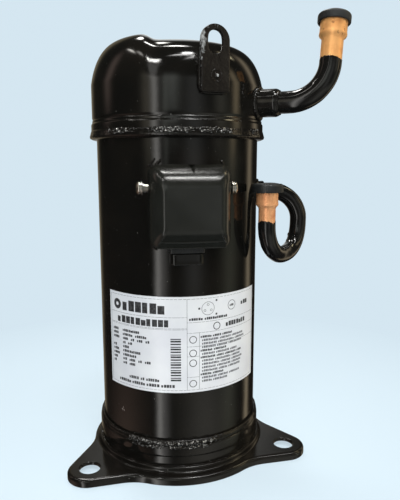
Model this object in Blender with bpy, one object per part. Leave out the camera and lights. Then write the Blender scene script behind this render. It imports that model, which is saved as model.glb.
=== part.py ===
"""Hermetic scroll compressor for refrigeration, on a three-foot base plate.

Units are metres and +Z is up. The origin is on the axis of the round body, in the
plane that the base plate rests on. The front, with the terminal cover, faces -Y,
and both pipes leave the body towards +X. Every object is one closed solid, and
pieces that touch keep FIT between them.
"""

import math

import bmesh
import bpy
from mathutils import Matrix, Vector

# ---- driving dimensions -------------------------------------------------------------

FIT = 0.0003  # gap kept between pieces that touch
RUNNING = 0.0001  # radial play of a journal in its bearing
ROUND = 40  # facets of a large turned piece
INSIDE = 32  # facets of a turned piece inside the body
FINE = 16  # facets of a small turned piece

BODY_RADIUS = 0.080
BODY_WALL = 0.0033
BODY_BOTTOM = 0.016
BODY_TOP = 0.337
BODY_INNER = BODY_RADIUS - BODY_WALL
INSERT_RADIUS = BODY_INNER - FIT  # outer radius of whatever is fixed inside the body

CAP_WALL = 0.0037
CAP_INNER = BODY_RADIUS + FIT
CAP_RADIUS = CAP_INNER + CAP_WALL
SKIRT_RADIUS = CAP_RADIUS + 0.0008
SKIRT_BOTTOM = 0.321
SKIRT_STEP = 0.334
SHOULDER_HEIGHT = 0.3683
DOME_HEIGHT = 0.4117
DOME_FULLNESS = 6.8
DOME_ROUNDING = 0.737
DOME_RINGS = 7
PRESS_DEPTH = 0.0067  # the flat pressed into the right of the dome
PRESS_EDGE = -0.0246
PRESS_SOFTNESS = 0.0026

CUP_RADIUS = 0.083
CUP_CORNER = 0.014
CUP_WALL = 0.0027
CUP_LIP_BOTTOM = 0.0225
CUP_TOP = 0.033

FOOT_ANGLES = (-139.0, -19.0, 101.0)
FOOT_CIRCLE = 0.114
FOOT_TIP = 0.021
FOOT_TAPER = 29.3
FOOT_HOLE = 0.0098
BULGES = (0.096, 0.091, 0.091)  # edge radius of the plate between one foot and the next
PLATE_TOP = 0.008
PLATE_SHEET = 0.0035
COLLAR_TOP = 0.0130

LUG_ANGLE = -68.5
LUG_WIDTH = 0.0264
LUG_THICKNESS = 0.0045
LUG_BOTTOM = 0.355
LUG_TOP = 0.410
LUG_EYE_WIDTH = 0.0142
LUG_EYE_BOTTOM = 0.386
LUG_EYE_TOP = 0.4055

SUCTION_ANGLE = -24.0
SUCTION_HEIGHT = 0.351
SUCTION_RADIUS = 0.0098
SUCTION_BORE = 0.0086
SUCTION_SOCKET = 0.0122
SUCTION_BEND = 0.035
SUCTION_REACH = 0.147
SUCTION_END = 0.4205
SUCTION_LEAN = Vector((0.10, 0.16, 1.0))
STUB_START = 0.079
STUB_END = 0.1035
STUB_RADIUS = 0.0128

DISCHARGE_ANGLE = -3.0
DISCHARGE_HEIGHT = 0.268
DISCHARGE_RADIUS = 0.0080
DISCHARGE_BORE = 0.0068
DISCHARGE_SOCKET = 0.0101
DISCHARGE_REACH = 0.1235
DISCHARGE_NEAR_LEG = (0.083, -0.055)
DISCHARGE_BEND = 0.0285
DISCHARGE_LOOP_BOTTOM = 0.2065
DISCHARGE_END = 0.2700
SOCKET_DEPTH = 0.0125
PLUG_RADIUS = 0.0149
PLUG_HEAD = 0.0070
PLUG_SHANK = 0.0060

TERMINAL_ANGLE = -83.5
TERMINAL_HEIGHT = 0.259
TERMINAL_RADIUS = 0.0242
PIN_RADIUS = 0.0016
PIN_CIRCLE = 0.0115
GLASS_RADIUS = 0.0042
FENCE_HALF = (0.0300, 0.0305)
FENCE_WALL = 0.0020
FENCE_FRONT = 0.1010
COVER_HALF = (0.0350, 0.0355)
COVER_FACE_HALF = (0.0236, 0.0222)
COVER_FACE = 0.1150
COVER_WALL = 0.0025
SCREW_HEIGHT = 0.016
SCREW_RADIAL = 0.0935
OUTLET_HALF = 0.0153
OUTLET_SHIFT = -0.0033
SCREW_SEATS = (0.0407, 0.0356)  # the left screw is not driven home

LABEL_ANGLES = (-144.5, -25.0)
LABEL_HEIGHTS = (0.0847, 0.1764)
LABEL_SHEET = 0.0003

ORBIT = 0.005
WRAP_BASE = 0.00286
WRAP_THICKNESS = 0.0034
WRAP_START = 4.4
WRAP_END = 17.2
WRAP_STEPS = 60
SCROLL_FACE = 0.3373  # joint plane between the frame and the fixed scroll
PLATE_UNDERSIDE = 0.3623
FIXED_TOP = 0.3763
FIXED_RADIUS = 0.074
ORBITING_RADIUS = 0.058
ORBITING_BOTTOM = 0.3273
THRUST_FACE = 0.3270

OLDHAM_CENTRE = 0.0535
OLDHAM_KEY = 0.0040
OLDHAM_KEY_LENGTH = 0.0045

VALVE_ROOT = -0.022
MUFFLER_VENTS = (50.0, 230.0)

CRANK_LEVEL = 0.180
ORBIT_LEVEL = 0.318
SHAFT_BOTTOM = 0.056
MAIN_JOURNAL = 0.0140
ROTOR_SEAT = 0.0127
LOWER_JOURNAL = 0.0105
PIN_JOURNAL = 0.0090
BUSH_RADIUS = 0.0130

STACK_BOTTOM = 0.120
STACK_TOP = 0.200
STATOR_BORE = 0.0406
ROTOR_RADIUS = 0.0400
SLOTS = 18
WINDING_TOP = 0.236
WINDING_BOTTOM = 0.086

BOLT_ANGLES = (40.0, 130.0, 220.0, 310.0)
BOLT_CIRCLE = 0.068
BOLT_RADIUS = 0.0030


# ---- tools --------------------------------------------------------------------------


def clear_scene():
    for obj in list(bpy.data.objects):
        bpy.data.objects.remove(obj, do_unlink=True)


def make_material(name, colour, roughness, metallic):
    material = bpy.data.materials.new(name)
    material.use_nodes = True
    shader = material.node_tree.nodes["Principled BSDF"]
    shader.inputs["Base Color"].default_value = (*colour, 1.0)
    shader.inputs["Roughness"].default_value = roughness
    shader.inputs["Metallic"].default_value = metallic
    return material


def add_object(name, bm, material, matrix=None):
    """Link the finished bmesh as one named object, with its faces pointing outwards."""
    bmesh.ops.recalc_face_normals(bm, faces=bm.faces)
    mesh = bpy.data.meshes.new(name)
    bm.to_mesh(mesh)
    bm.free()
    mesh.materials.append(material)
    mesh.shade_smooth()
    mesh.set_sharp_from_angle(angle=math.radians(32))
    obj = bpy.data.objects.new(name, mesh)
    if matrix is not None:
        obj.matrix_world = matrix
    bpy.context.scene.collection.objects.link(obj)
    return obj


def pivot(name, location, *pieces):
    """Empty on a joint's axis, which carries the pieces that move about or along it."""
    empty = bpy.data.objects.new(name, None)
    empty.empty_display_size = 0.02
    empty.location = location
    bpy.context.scene.collection.objects.link(empty)
    for piece in pieces:
        obj = bpy.data.objects[piece]
        obj.parent = empty
        obj.matrix_parent_inverse = Matrix.Translation(location).inverted()


def boolean(target, operation, *tools):
    """Combine hidden helper solids with the target."""
    for tool in tools:
        tool.hide_render = True
        tool.display_type = "WIRE"
        modifier = target.modifiers.new(f"{operation.lower()}_{tool.name}", "BOOLEAN")
        modifier.operation = operation
        modifier.solver = "EXACT"
        modifier.object = tool
    return target


def direction(angle):
    """Unit vector in the XY plane at this many degrees from +X."""
    turn = math.radians(angle)
    return Vector((math.cos(turn), math.sin(turn), 0.0))


def radial_frame(angle, height):
    """Local X points out from the body's axis, local Y runs round it and local Z is up."""
    return Matrix.Translation((0, 0, height)) @ Matrix.Rotation(math.radians(angle), 4, "Z")


def lying_along_x():
    """Turn a piece made along Z so that its axis lies along local X."""
    return Matrix.Rotation(math.radians(90), 4, "Y")


def add_loops(bm, loops, closed):
    """Faces between each loop of vertices and the next; a loop of one vertex is a point."""
    last = len(loops) if closed else len(loops) - 1
    for index in range(last):
        here = loops[index]
        after = loops[(index + 1) % len(loops)]
        count = max(len(here), len(after))
        if count == 1:
            continue
        for side in range(count):
            beyond = (side + 1) % count
            corners = [
                here[side % len(here)],
                here[beyond % len(here)],
                after[beyond % len(after)],
                after[side % len(after)],
            ]
            bm.faces.new(list(dict.fromkeys(corners)))


def turned(name, profile, material, facets=ROUND, matrix=None):
    """Solid turned about Z from a closed profile of (radius, height) points."""
    bm = bmesh.new()
    loops = []
    for radius, height in profile:
        if radius < 1e-6:
            loops.append([bm.verts.new((0, 0, height))])
            continue
        turns = (2 * math.pi * step / facets for step in range(facets))
        loops.append([bm.verts.new((radius * math.cos(t), radius * math.sin(t), height)) for t in turns])
    add_loops(bm, loops, closed=True)
    return add_object(name, bm, material, matrix)


def tube(name, outer, inner, bottom, top, material, facets=ROUND, matrix=None):
    profile = [(inner, bottom), (outer, bottom), (outer, top), (inner, top)]
    return turned(name, profile, material, facets, matrix)


def rod(name, radius, bottom, top, material, facets=FINE, matrix=None):
    profile = [(0, bottom), (radius, bottom), (radius, top), (0, top)]
    return turned(name, profile, material, facets, matrix)


def prism(name, outline, bottom, top, material, matrix=None):
    """Upright solid over a closed outline of (x, y) points."""
    bm = bmesh.new()
    low = [bm.verts.new((x, y, bottom)) for x, y in outline]
    high = [bm.verts.new((x, y, top)) for x, y in outline]
    add_loops(bm, [low, high], closed=False)
    bm.faces.new(low)
    bm.faces.new(high)
    return add_object(name, bm, material, matrix)


def lofted(name, sections, material, matrix=None, hollow=False):
    """Solid through sections of equal point count; a hollow one closes back on itself."""
    bm = bmesh.new()
    loops = [[bm.verts.new(point) for point in section] for section in sections]
    add_loops(bm, loops, closed=hollow)
    if not hollow:
        bm.faces.new(loops[0])
        bm.faces.new(loops[-1])
    return add_object(name, bm, material, matrix)


def box(name, low, high, material, matrix=None):
    outline = [(low[0], low[1]), (high[0], low[1]), (high[0], high[1]), (low[0], high[1])]
    return prism(name, outline, low[2], high[2], material, matrix)


def arc(centre, radius, start, end, steps):
    """Points on an arc between two angles in degrees, both ends included."""
    points = []
    for step in range(steps + 1):
        turn = math.radians(start + (end - start) * step / steps)
        points.append((centre[0] + radius * math.cos(turn), centre[1] + radius * math.sin(turn)))
    return points


def rounded_rectangle(half_width, half_height, corner, steps=3):
    """Outline of a rectangle with round corners, centred on zero, as (width, height) points."""
    inner_width = half_width - corner
    inner_height = half_height - corner
    corners = ((1, 1), (-1, 1), (-1, -1), (1, -1))
    outline = []
    for quarter, (side, level) in enumerate(corners):
        centre = (side * inner_width, level * inner_height)
        outline += arc(centre, corner, 90 * quarter, 90 * quarter + 90, steps)
    return outline


def helper(name, maker, *args, **options):
    """A cutting or joining tool, made like any other solid but left out of the model."""
    return maker(f"helper_{name}", *args, material=STEEL, **options)


def swept(name, path, outer, inner, material, facets=14):
    """Tube along a path, with an outer and an inner radius for each of its points."""
    tangents = []
    for index in range(len(path)):
        before = path[max(index - 1, 0)]
        after = path[min(index + 1, len(path) - 1)]
        tangents.append((after - before).normalized())
    side = tangents[0].cross(Vector((0, 0, 1)))
    if side.length < 0.1:
        side = tangents[0].cross(Vector((0, 1, 0)))
    side.normalize()
    bm = bmesh.new()
    outside = []
    inside = []
    for point, tangent, big, small in zip(path, tangents, outer, inner):
        side = (side - tangent * side.dot(tangent)).normalized()
        across = tangent.cross(side)
        ring = []
        for step in range(facets):
            turn = 2 * math.pi * step / facets
            ring.append(side * math.cos(turn) + across * math.sin(turn))
        outside.append([bm.verts.new(point + spoke * big) for spoke in ring])
        inside.append([bm.verts.new(point + spoke * small) for spoke in ring])
    add_loops(bm, outside + inside[::-1], closed=True)
    return add_object(name, bm, material)


def bend(corner, incoming, outgoing, radius, steps):
    """Points of a round bend that turns from one direction to another at this corner."""
    turn = incoming.angle(outgoing)
    setback = radius * math.tan(turn / 2)
    start = corner - incoming * setback
    inward = (outgoing - incoming * incoming.dot(outgoing)).normalized()
    points = []
    for step in range(steps + 1):
        part = turn * step / steps
        along = incoming * math.sin(part)
        across = inward * (1 - math.cos(part))
        points.append(start + (along + across) * radius)
    return points


# ---- materials ----------------------------------------------------------------------

clear_scene()

BLACK_PAINT = make_material("black_paint", (0.012, 0.012, 0.011), 0.16, 0.0)
BLACK_WELD = make_material("painted_weld", (0.014, 0.013, 0.012), 0.30, 0.0)
COPPER = make_material("copper_tube", (0.72, 0.40, 0.25), 0.34, 1.0)
RUBBER = make_material("black_rubber", (0.030, 0.031, 0.034), 0.62, 0.0)
COVER_PLASTIC = make_material("cover_plastic", (0.022, 0.022, 0.022), 0.30, 0.0)
ZINC = make_material("zinc_screw", (0.72, 0.71, 0.68), 0.28, 1.0)
LABEL = make_material("label_film", (0.80, 0.81, 0.82), 0.42, 0.0)
STEEL = make_material("machined_steel", (0.55, 0.56, 0.57), 0.32, 1.0)
IRON = make_material("cast_iron", (0.23, 0.23, 0.24), 0.55, 1.0)
ALUMINIUM = make_material("aluminium", (0.74, 0.75, 0.76), 0.38, 1.0)
LAMINATION = make_material("lamination_steel", (0.34, 0.35, 0.37), 0.42, 1.0)
MAGNET_WIRE = make_material("magnet_wire", (0.55, 0.23, 0.10), 0.36, 0.7)
BRONZE = make_material("bearing_bronze", (0.58, 0.42, 0.22), 0.35, 1.0)
GLASS = make_material("sealing_glass", (0.25, 0.36, 0.33), 0.10, 0.0)
INSULATOR = make_material("insulator", (0.62, 0.58, 0.46), 0.50, 0.0)


# ---- base plate and bottom cup ------------------------------------------------------


def plate_outline():
    """Edge of the base plate: three tapered feet with a round bulge between each pair."""
    edge_distance = FOOT_CIRCLE * math.sin(math.radians(FOOT_TAPER)) + FOOT_TIP
    outline = []
    for index, angle in enumerate(FOOT_ANGLES):
        square_on = 90 - FOOT_TAPER
        tip = direction(angle) * FOOT_CIRCLE
        outline += arc(tip, FOOT_TIP, angle - square_on, angle + square_on, 7)
        following = FOOT_ANGLES[(index + 1) % 3] % 360
        start_radius = BULGES[index]
        meets = square_on - math.degrees(math.acos(edge_distance / start_radius))
        start = angle % 360 + meets
        end = following - meets
        if end < start:
            end += 360
        outline += fillet_and_bulge(angle + square_on, start_radius, start, end)
    return outline


def fillet_and_bulge(normal, radius, start, end):
    """A soft hollow into the bulge, the bulge itself, and the soft hollow out of it."""
    run = 0.014
    swing = math.degrees(run / radius)
    junction = direction(start) * radius
    along = direction(normal + 90)
    into = junction - along * run
    points = curve(into, junction, direction(start + swing) * radius)
    points += arc((0, 0), radius, start + swing, end - swing, 6)[1:-1]
    far_junction = direction(end) * radius
    far_normal = end + (start - normal)
    away = direction(far_normal + 90)
    points += curve(direction(end - swing) * radius, far_junction, far_junction + away * run)
    return points


def curve(start, control, end, steps=2):
    """Points of a quadratic curve, as (x, y)."""
    points = []
    for step in range(steps + 1):
        part = step / steps
        point = start * (1 - part) ** 2 + control * 2 * part * (1 - part) + end * part**2
        points.append((point.x, point.y))
    return points


def inset(outline, distance):
    """Move each point of an anticlockwise outline inwards, square to the edge there."""
    moved = []
    for index, (x, y) in enumerate(outline):
        before = Vector(outline[index - 1])
        after = Vector(outline[(index + 1) % len(outline)])
        along = (after - before).normalized()
        moved.append((x - along.y * distance, y + along.x * distance))
    return moved


def at_height(outline, height):
    return [(x, y, height) for x, y in outline]


def circle_under(outline, radius):
    """A circle with one point in the direction of each outline point."""
    points = []
    for x, y in outline:
        reach = math.hypot(x, y)
        points.append((x / reach * radius, y / reach * radius))
    return points


def make_base_plate():
    outline = plate_outline()
    hole = CUP_RADIUS + 2 * FIT
    collar = hole + 0.0030
    underside = PLATE_TOP - PLATE_SHEET
    sections = [
        at_height(circle_under(outline, hole), underside),
        at_height(circle_under(outline, hole), COLLAR_TOP),
        at_height(circle_under(outline, collar - 0.0006), COLLAR_TOP - 0.0008),
        at_height(circle_under(outline, collar), PLATE_TOP + 0.0012),
        at_height(circle_under(outline, collar + 0.0014), PLATE_TOP),
        at_height(inset(outline, 0.0030), PLATE_TOP),
        at_height(inset(outline, 0.0010), PLATE_TOP - 0.0010),
        at_height(outline, PLATE_TOP - 0.0032),
        at_height(outline, 0.0),
        at_height(inset(outline, 0.0030), 0.0),
        at_height(inset(outline, 0.0032), underside),
    ]
    plate = lofted("base_plate", sections, BLACK_PAINT, hollow=True)
    for number, angle in enumerate(FOOT_ANGLES, 1):
        place = Matrix.Translation(direction(angle) * FOOT_CIRCLE)
        cutter = helper(f"foot_{number}", rod, FOOT_HOLE, -0.01, 0.02, matrix=place)
        boolean(plate, "DIFFERENCE", cutter)


def make_bottom_cup():
    inner = CAP_INNER
    corner = (CUP_RADIUS - CUP_CORNER, CUP_CORNER)
    outside = arc(corner, CUP_CORNER, -90, 0, 4)
    inside = arc(corner, CUP_CORNER - CUP_WALL, 0, -90, 3)
    profile = [(0, 0), *outside]
    profile += [(CUP_RADIUS, CUP_LIP_BOTTOM - 0.0008), (CAP_RADIUS, CUP_LIP_BOTTOM)]
    profile += [(CAP_RADIUS, CUP_TOP - 0.0006), (CAP_RADIUS - 0.0006, CUP_TOP), (inner, CUP_TOP)]
    profile += [*inside, (0, CUP_WALL)]
    turned("bottom_cup", profile, BLACK_PAINT)


def make_weld_beads():
    inner = BODY_RADIUS + FIT
    low = CUP_TOP + FIT
    outer = CAP_RADIUS - 0.0004
    lower = [(inner, low), (outer, low), (inner + 0.0027, low + 0.0026), (inner, low + 0.0042)]
    turned("bottom_weld", lower, BLACK_WELD)
    high = SKIRT_BOTTOM - FIT
    upper = [(inner, high), (inner, high - 0.0044), (inner + 0.0024, high - 0.0036)]
    upper += [(SKIRT_RADIUS + 0.0004, high - 0.0016), (SKIRT_RADIUS + 0.0010, high)]
    turned("top_weld", upper, BLACK_WELD)


# ---- body and dome ------------------------------------------------------------------


def make_body():
    body = tube("body_shell", BODY_RADIUS, BODY_INNER, BODY_BOTTOM, BODY_TOP, BLACK_PAINT)
    port = radial_frame(DISCHARGE_ANGLE, DISCHARGE_HEIGHT) @ lying_along_x()
    opening = helper("discharge_hole", rod, DISCHARGE_RADIUS + 0.0023, 0.06, 0.10, matrix=port)
    seat = radial_frame(TERMINAL_ANGLE, TERMINAL_HEIGHT) @ lying_along_x()
    window = helper("terminal_hole", rod, TERMINAL_RADIUS + FIT, 0.06, 0.10, facets=32, matrix=seat)
    boolean(body, "DIFFERENCE", opening, window)


def dome_profile(radius, rise):
    """Dome from the shoulder in to the axis, as (radius, height) points."""
    points = []
    for step in range(DOME_RINGS + 1):
        part = math.cos(math.pi / 2 * step / DOME_RINGS) ** 0.62
        height = rise * (1 - part**DOME_FULLNESS) ** DOME_ROUNDING
        points.append((radius * part, SHOULDER_HEIGHT + height))
    points[-1] = (0, SHOULDER_HEIGHT + rise)
    return points


def pressed(x, height):
    """How far the dome is pressed down: the whole right side, but not the hump on the left."""
    side = 1 / (1 + math.exp(-(x - PRESS_EDGE) / PRESS_SOFTNESS))
    fade = (height - SHOULDER_HEIGHT + 0.025) / (DOME_HEIGHT - SHOULDER_HEIGHT + 0.025)
    return PRESS_DEPTH * side * min(max(fade, 0.0), 1.0)


def make_top_cap():
    outside = dome_profile(CAP_RADIUS, DOME_HEIGHT - SHOULDER_HEIGHT)
    inside = dome_profile(CAP_INNER, DOME_HEIGHT - SHOULDER_HEIGHT - CAP_WALL)
    profile = [(CAP_INNER, SKIRT_BOTTOM), (SKIRT_RADIUS, SKIRT_BOTTOM), (SKIRT_RADIUS, SKIRT_STEP)]
    profile += [(CAP_RADIUS, SKIRT_STEP + 0.0008), *outside, *inside[::-1]]
    cap = turned("top_cap", profile, BLACK_PAINT)
    for vertex in cap.data.vertices:
        vertex.co.z -= pressed(vertex.co.x, vertex.co.z)
    port = radial_frame(SUCTION_ANGLE, SUCTION_HEIGHT) @ lying_along_x()
    boolean(cap, "DIFFERENCE", helper("suction_hole", rod, STUB_RADIUS + FIT, 0.06, 0.10, matrix=port))


def make_lifting_lug():
    half = LUG_WIDTH / 2
    eye = LUG_EYE_WIDTH / 2
    outline = [(half, LUG_BOTTOM), *arc((0, LUG_TOP - half), half, 0, 180, 14), (-half, LUG_BOTTOM)]
    hole = arc((0, LUG_EYE_TOP - eye), eye, 0, 180, 10) + arc((0, LUG_EYE_BOTTOM + eye), eye, 180, 360, 10)
    upright = radial_frame(LUG_ANGLE, 0) @ Matrix(((0, 0, 1, 0), (1, 0, 0, 0), (0, 1, 0, 0), (0, 0, 0, 1)))
    near = CAP_RADIUS + 2 * FIT
    lug = prism("lifting_lug", outline, near, near + LUG_THICKNESS, BLACK_PAINT, upright)
    boolean(lug, "DIFFERENCE", helper("lug_eye", prism, hole, near - 0.01, near + 0.02, matrix=upright))


# ---- pipes --------------------------------------------------------------------------


def straight(start, end, steps):
    """Points of a straight run, without its last one."""
    return [start.lerp(end, step / steps) for step in range(steps)]


def socket_radii(path, plain_outer, plain_inner, socket_outer):
    """Radii along a tube whose last stretch is widened into a socket."""
    total = sum((b - a).length for a, b in zip(path, path[1:]))
    travelled = 0.0
    outer = []
    inner = []
    for index, point in enumerate(path):
        if index:
            travelled += (point - path[index - 1]).length
        opened = min(max((travelled - (total - SOCKET_DEPTH - 0.003)) / 0.003, 0.0), 1.0)
        outer.append(plain_outer + (socket_outer - plain_outer) * opened)
        inner.append(plain_inner + (socket_outer - 0.0012 - plain_inner) * opened)
    return outer, inner


def socket_stretch(start, end):
    """Points from a straight run's start to the rim, with the socket's steps among them."""
    length = (end - start).length
    along = (end - start).normalized()
    marks = [0.0, length - SOCKET_DEPTH - 0.003, length - SOCKET_DEPTH, length]
    return [start + along * mark for mark in marks]


def suction_path():
    out = direction(SUCTION_ANGLE)
    height = Vector((0, 0, SUCTION_HEIGHT))
    corner = out * SUCTION_REACH + height
    up = SUCTION_LEAN.normalized()
    rise = (SUCTION_END - SUCTION_HEIGHT) / up.z
    curved = bend(corner, out, up, SUCTION_BEND, 7)
    path = straight(out * 0.063 + height, curved[0], 3) + curved
    return path[:-1] + socket_stretch(path[-1], corner + up * rise)


def discharge_path():
    out = direction(DISCHARGE_ANGLE)
    down = Vector((0, 0, -1))
    far = out * DISCHARGE_REACH + Vector((0, 0, DISCHARGE_HEIGHT))
    near = Vector((*DISCHARGE_NEAR_LEG, DISCHARGE_HEIGHT))
    first = bend(far, out, down, DISCHARGE_BEND, 6)
    middle = (far + near) / 2
    reach = (far - near).length / 2
    towards_near = (near - far).normalized()
    loop_height = DISCHARGE_LOOP_BOTTOM + reach
    loop = []
    for step in range(11):
        turn = math.pi * step / 10
        point = middle - towards_near * reach * math.cos(turn)
        loop.append(Vector((point.x, point.y, loop_height - reach * math.sin(turn))))
    path = [first[0] - out * 0.023] + first + loop
    end = Vector((*DISCHARGE_NEAR_LEG, DISCHARGE_END))
    return path[:-1] + socket_stretch(path[-1], end)


def plug_profile(shank):
    """Rubber plug standing on a tube's rim, which is at height 0."""
    edge = 0.0014
    profile = [(0, -PLUG_SHANK), (shank - 0.0006, -PLUG_SHANK), (shank, -PLUG_SHANK + 0.0006)]
    profile += [(shank, FIT), (PLUG_RADIUS - edge / 2, FIT), (PLUG_RADIUS, FIT + edge / 2)]
    profile += [(PLUG_RADIUS, PLUG_HEAD - edge), (PLUG_RADIUS - edge, PLUG_HEAD), (0, PLUG_HEAD)]
    return profile


def facing(path):
    """Placement at the end of a path, with local Z along its last stretch."""
    along = (path[-1] - path[-2]).normalized()
    return Matrix.Translation(path[-1]) @ Vector((0, 0, 1)).rotation_difference(along).to_matrix().to_4x4()


def make_suction_line():
    port = radial_frame(SUCTION_ANGLE, SUCTION_HEIGHT) @ lying_along_x()
    inner = SUCTION_RADIUS + FIT
    profile = [(inner, STUB_START), (STUB_RADIUS, STUB_START), (STUB_RADIUS, STUB_END - 0.0012)]
    profile += [(STUB_RADIUS - 0.0010, STUB_END), (inner, STUB_END)]
    turned("suction_stub", profile, BLACK_PAINT, FINE, port)
    path = suction_path()
    outer, inner = socket_radii(path, SUCTION_RADIUS, SUCTION_BORE, SUCTION_SOCKET)
    swept("suction_pipe", path, outer, inner, COPPER)
    shank = SUCTION_SOCKET - 0.0012 - FIT
    turned("suction_plug", plug_profile(shank), RUBBER, FINE, facing(path))
    ring_inner = SUCTION_RADIUS + FIT
    ring_outer = ring_inner + 0.0026
    ring = [(ring_inner, 0.0745), (ring_outer, 0.0745), (ring_outer, 0.0775), (ring_inner, 0.0775)]
    turned("suction_seal", ring, RUBBER, FINE, port)


def make_discharge_line():
    port = radial_frame(DISCHARGE_ANGLE, DISCHARGE_HEIGHT) @ lying_along_x()
    collar = DISCHARGE_RADIUS + 0.0020
    profile = [(DISCHARGE_RADIUS + FIT, 0.075), (collar, 0.075), (collar, 0.0865)]
    profile += [(collar - 0.0008, 0.0875), (DISCHARGE_RADIUS + FIT, 0.0875)]
    turned("discharge_stub", profile, BLACK_PAINT, FINE, port)
    path = discharge_path()
    outer, inner = socket_radii(path, DISCHARGE_RADIUS, DISCHARGE_BORE, DISCHARGE_SOCKET)
    swept("discharge_pipe", path, outer, inner, COPPER, 12)
    shank = DISCHARGE_SOCKET - 0.0012 - FIT
    turned("discharge_plug", plug_profile(shank), RUBBER, FINE, facing(path))


# ---- electrical terminal ------------------------------------------------------------


def upright_section(radial, half_width, half_height, corner):
    """Rounded rectangle standing square to the radial direction."""
    outline = rounded_rectangle(half_width, half_height, corner)
    return [(radial, across, up) for across, up in outline]


def make_terminal():
    place = radial_frame(TERMINAL_ANGLE, TERMINAL_HEIGHT)
    facing_out = place @ lying_along_x()
    rim = TERMINAL_RADIUS
    profile = [(0, 0.0725), (rim - 0.003, 0.0725), (rim, 0.0755), (rim, 0.0825)]
    profile += [(rim - 0.002, 0.0825), (rim - 0.003, 0.0765), (0, 0.0765)]
    header = turned("terminal_header", profile, STEEL, 28, facing_out)
    for number in range(3):
        turn = math.radians(90 + 120 * number)
        offset = Matrix.Translation((0, PIN_CIRCLE * math.cos(turn), PIN_CIRCLE * math.sin(turn)))
        spot = place @ offset @ lying_along_x()
        name = f"{number + 1}"
        hole = helper(f"pin_{name}", rod, GLASS_RADIUS + FIT, 0.06, 0.09, matrix=spot)
        boolean(header, "DIFFERENCE", hole)
        tube(f"terminal_glass_{name}", GLASS_RADIUS, PIN_RADIUS + FIT, 0.0718, 0.0772, GLASS, 12, spot)
        rod(f"terminal_pin_{name}", PIN_RADIUS, 0.060, 0.096, STEEL, 10, spot)


def make_fence():
    """Square steel wall welded round the terminal, which the cover fits over."""
    place = radial_frame(TERMINAL_ANGLE, TERMINAL_HEIGHT)
    wide, tall = FENCE_HALF
    sections = [
        upright_section(0.074, wide, tall, 0.008),
        upright_section(FENCE_FRONT, wide, tall, 0.008),
        upright_section(FENCE_FRONT, wide - FENCE_WALL, tall - FENCE_WALL, 0.006),
        upright_section(0.074, wide - FENCE_WALL, tall - FENCE_WALL, 0.006),
    ]
    fence = lofted("terminal_fence", sections, BLACK_PAINT, place, hollow=True)
    body = helper("fence_fit", rod, BODY_RADIUS + FIT, 0.20, 0.32, facets=ROUND)
    way_out = Matrix.Translation((0.092, OUTLET_SHIFT, 0))
    passage = helper("fence_outlet", rod, 0.0052, -0.05, 0.0, matrix=place @ way_out)
    seat = Matrix.Translation((SCREW_RADIAL, 0, SCREW_HEIGHT))
    crosswise = seat @ Matrix.Rotation(math.radians(90), 4, "X")
    screws = helper("fence_screws", rod, 0.0024, -0.05, 0.05, matrix=place @ crosswise)
    boolean(fence, "DIFFERENCE", body, passage, screws)
    gasket = [
        upright_section(FENCE_FRONT + FIT, wide - 0.0006, tall - 0.0006, 0.0074),
        upright_section(FENCE_FRONT + 0.0022, wide - 0.0006, tall - 0.0006, 0.0074),
        upright_section(FENCE_FRONT + 0.0022, wide - 0.004, tall - 0.004, 0.005),
        upright_section(FENCE_FRONT + FIT, wide - 0.004, tall - 0.004, 0.005),
    ]
    lofted("cover_gasket", gasket, RUBBER, place, hollow=True)


def cover_sections():
    """Outside of the cover from its back edge to its face, then the inside back again."""
    wide, tall = COVER_HALF
    face_wide, face_tall = COVER_FACE_HALF
    wall = COVER_WALL
    return [
        upright_section(0.070, wide, tall, 0.011),
        upright_section(0.098, wide - 0.0006, tall - 0.0006, 0.011),
        upright_section(0.1040, wide - 0.0020, tall - 0.0022, 0.011),
        upright_section(0.1100, face_wide + 0.0062, face_tall + 0.0070, 0.010),
        upright_section(COVER_FACE - 0.0012, face_wide + 0.0012, face_tall + 0.0014, 0.007),
        upright_section(COVER_FACE, face_wide - 0.0012, face_tall - 0.0012, 0.005),
        upright_section(COVER_FACE - wall, face_wide - 0.0012, face_tall - 0.0012, 0.005),
        upright_section(0.1082, face_wide + 0.0040, face_tall + 0.0046, 0.008),
        upright_section(0.1036, wide - 0.0022 - wall, tall - 0.0024 - wall, 0.0085),
        upright_section(0.070, wide - wall, tall - wall, 0.0085),
    ]


def make_cover():
    place = radial_frame(TERMINAL_ANGLE, TERMINAL_HEIGHT)
    sections = cover_sections()
    bm = bmesh.new()
    loops = [[bm.verts.new(point) for point in section] for section in sections]
    add_loops(bm, loops[:6], closed=False)
    add_loops(bm, loops[6:], closed=False)
    add_loops(bm, [loops[-1], loops[0]], closed=False)
    bm.faces.new(loops[5])
    bm.faces.new(loops[6])
    cover = add_object("terminal_cover", bm, COVER_PLASTIC, place)
    body = helper("cover_fit", rod, BODY_RADIUS + 0.0008, 0.20, 0.32, facets=ROUND)
    slot_low = (0.06, -0.05, SCREW_HEIGHT - 0.0027)
    slot_high = (SCREW_RADIAL + 0.0027, 0.05, SCREW_HEIGHT + 0.0027)
    slots = helper("cover_slots", box, slot_low, slot_high, matrix=place)
    mouth_half = OUTLET_HALF + 0.0008
    mouth_low = (0.06, OUTLET_SHIFT - mouth_half, -0.05)
    mouth_high = (0.1005, OUTLET_SHIFT + mouth_half, -0.028)
    mouth = helper("cover_mouth", box, mouth_low, mouth_high, matrix=place)
    boolean(cover, "DIFFERENCE", body, slots, mouth)


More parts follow.
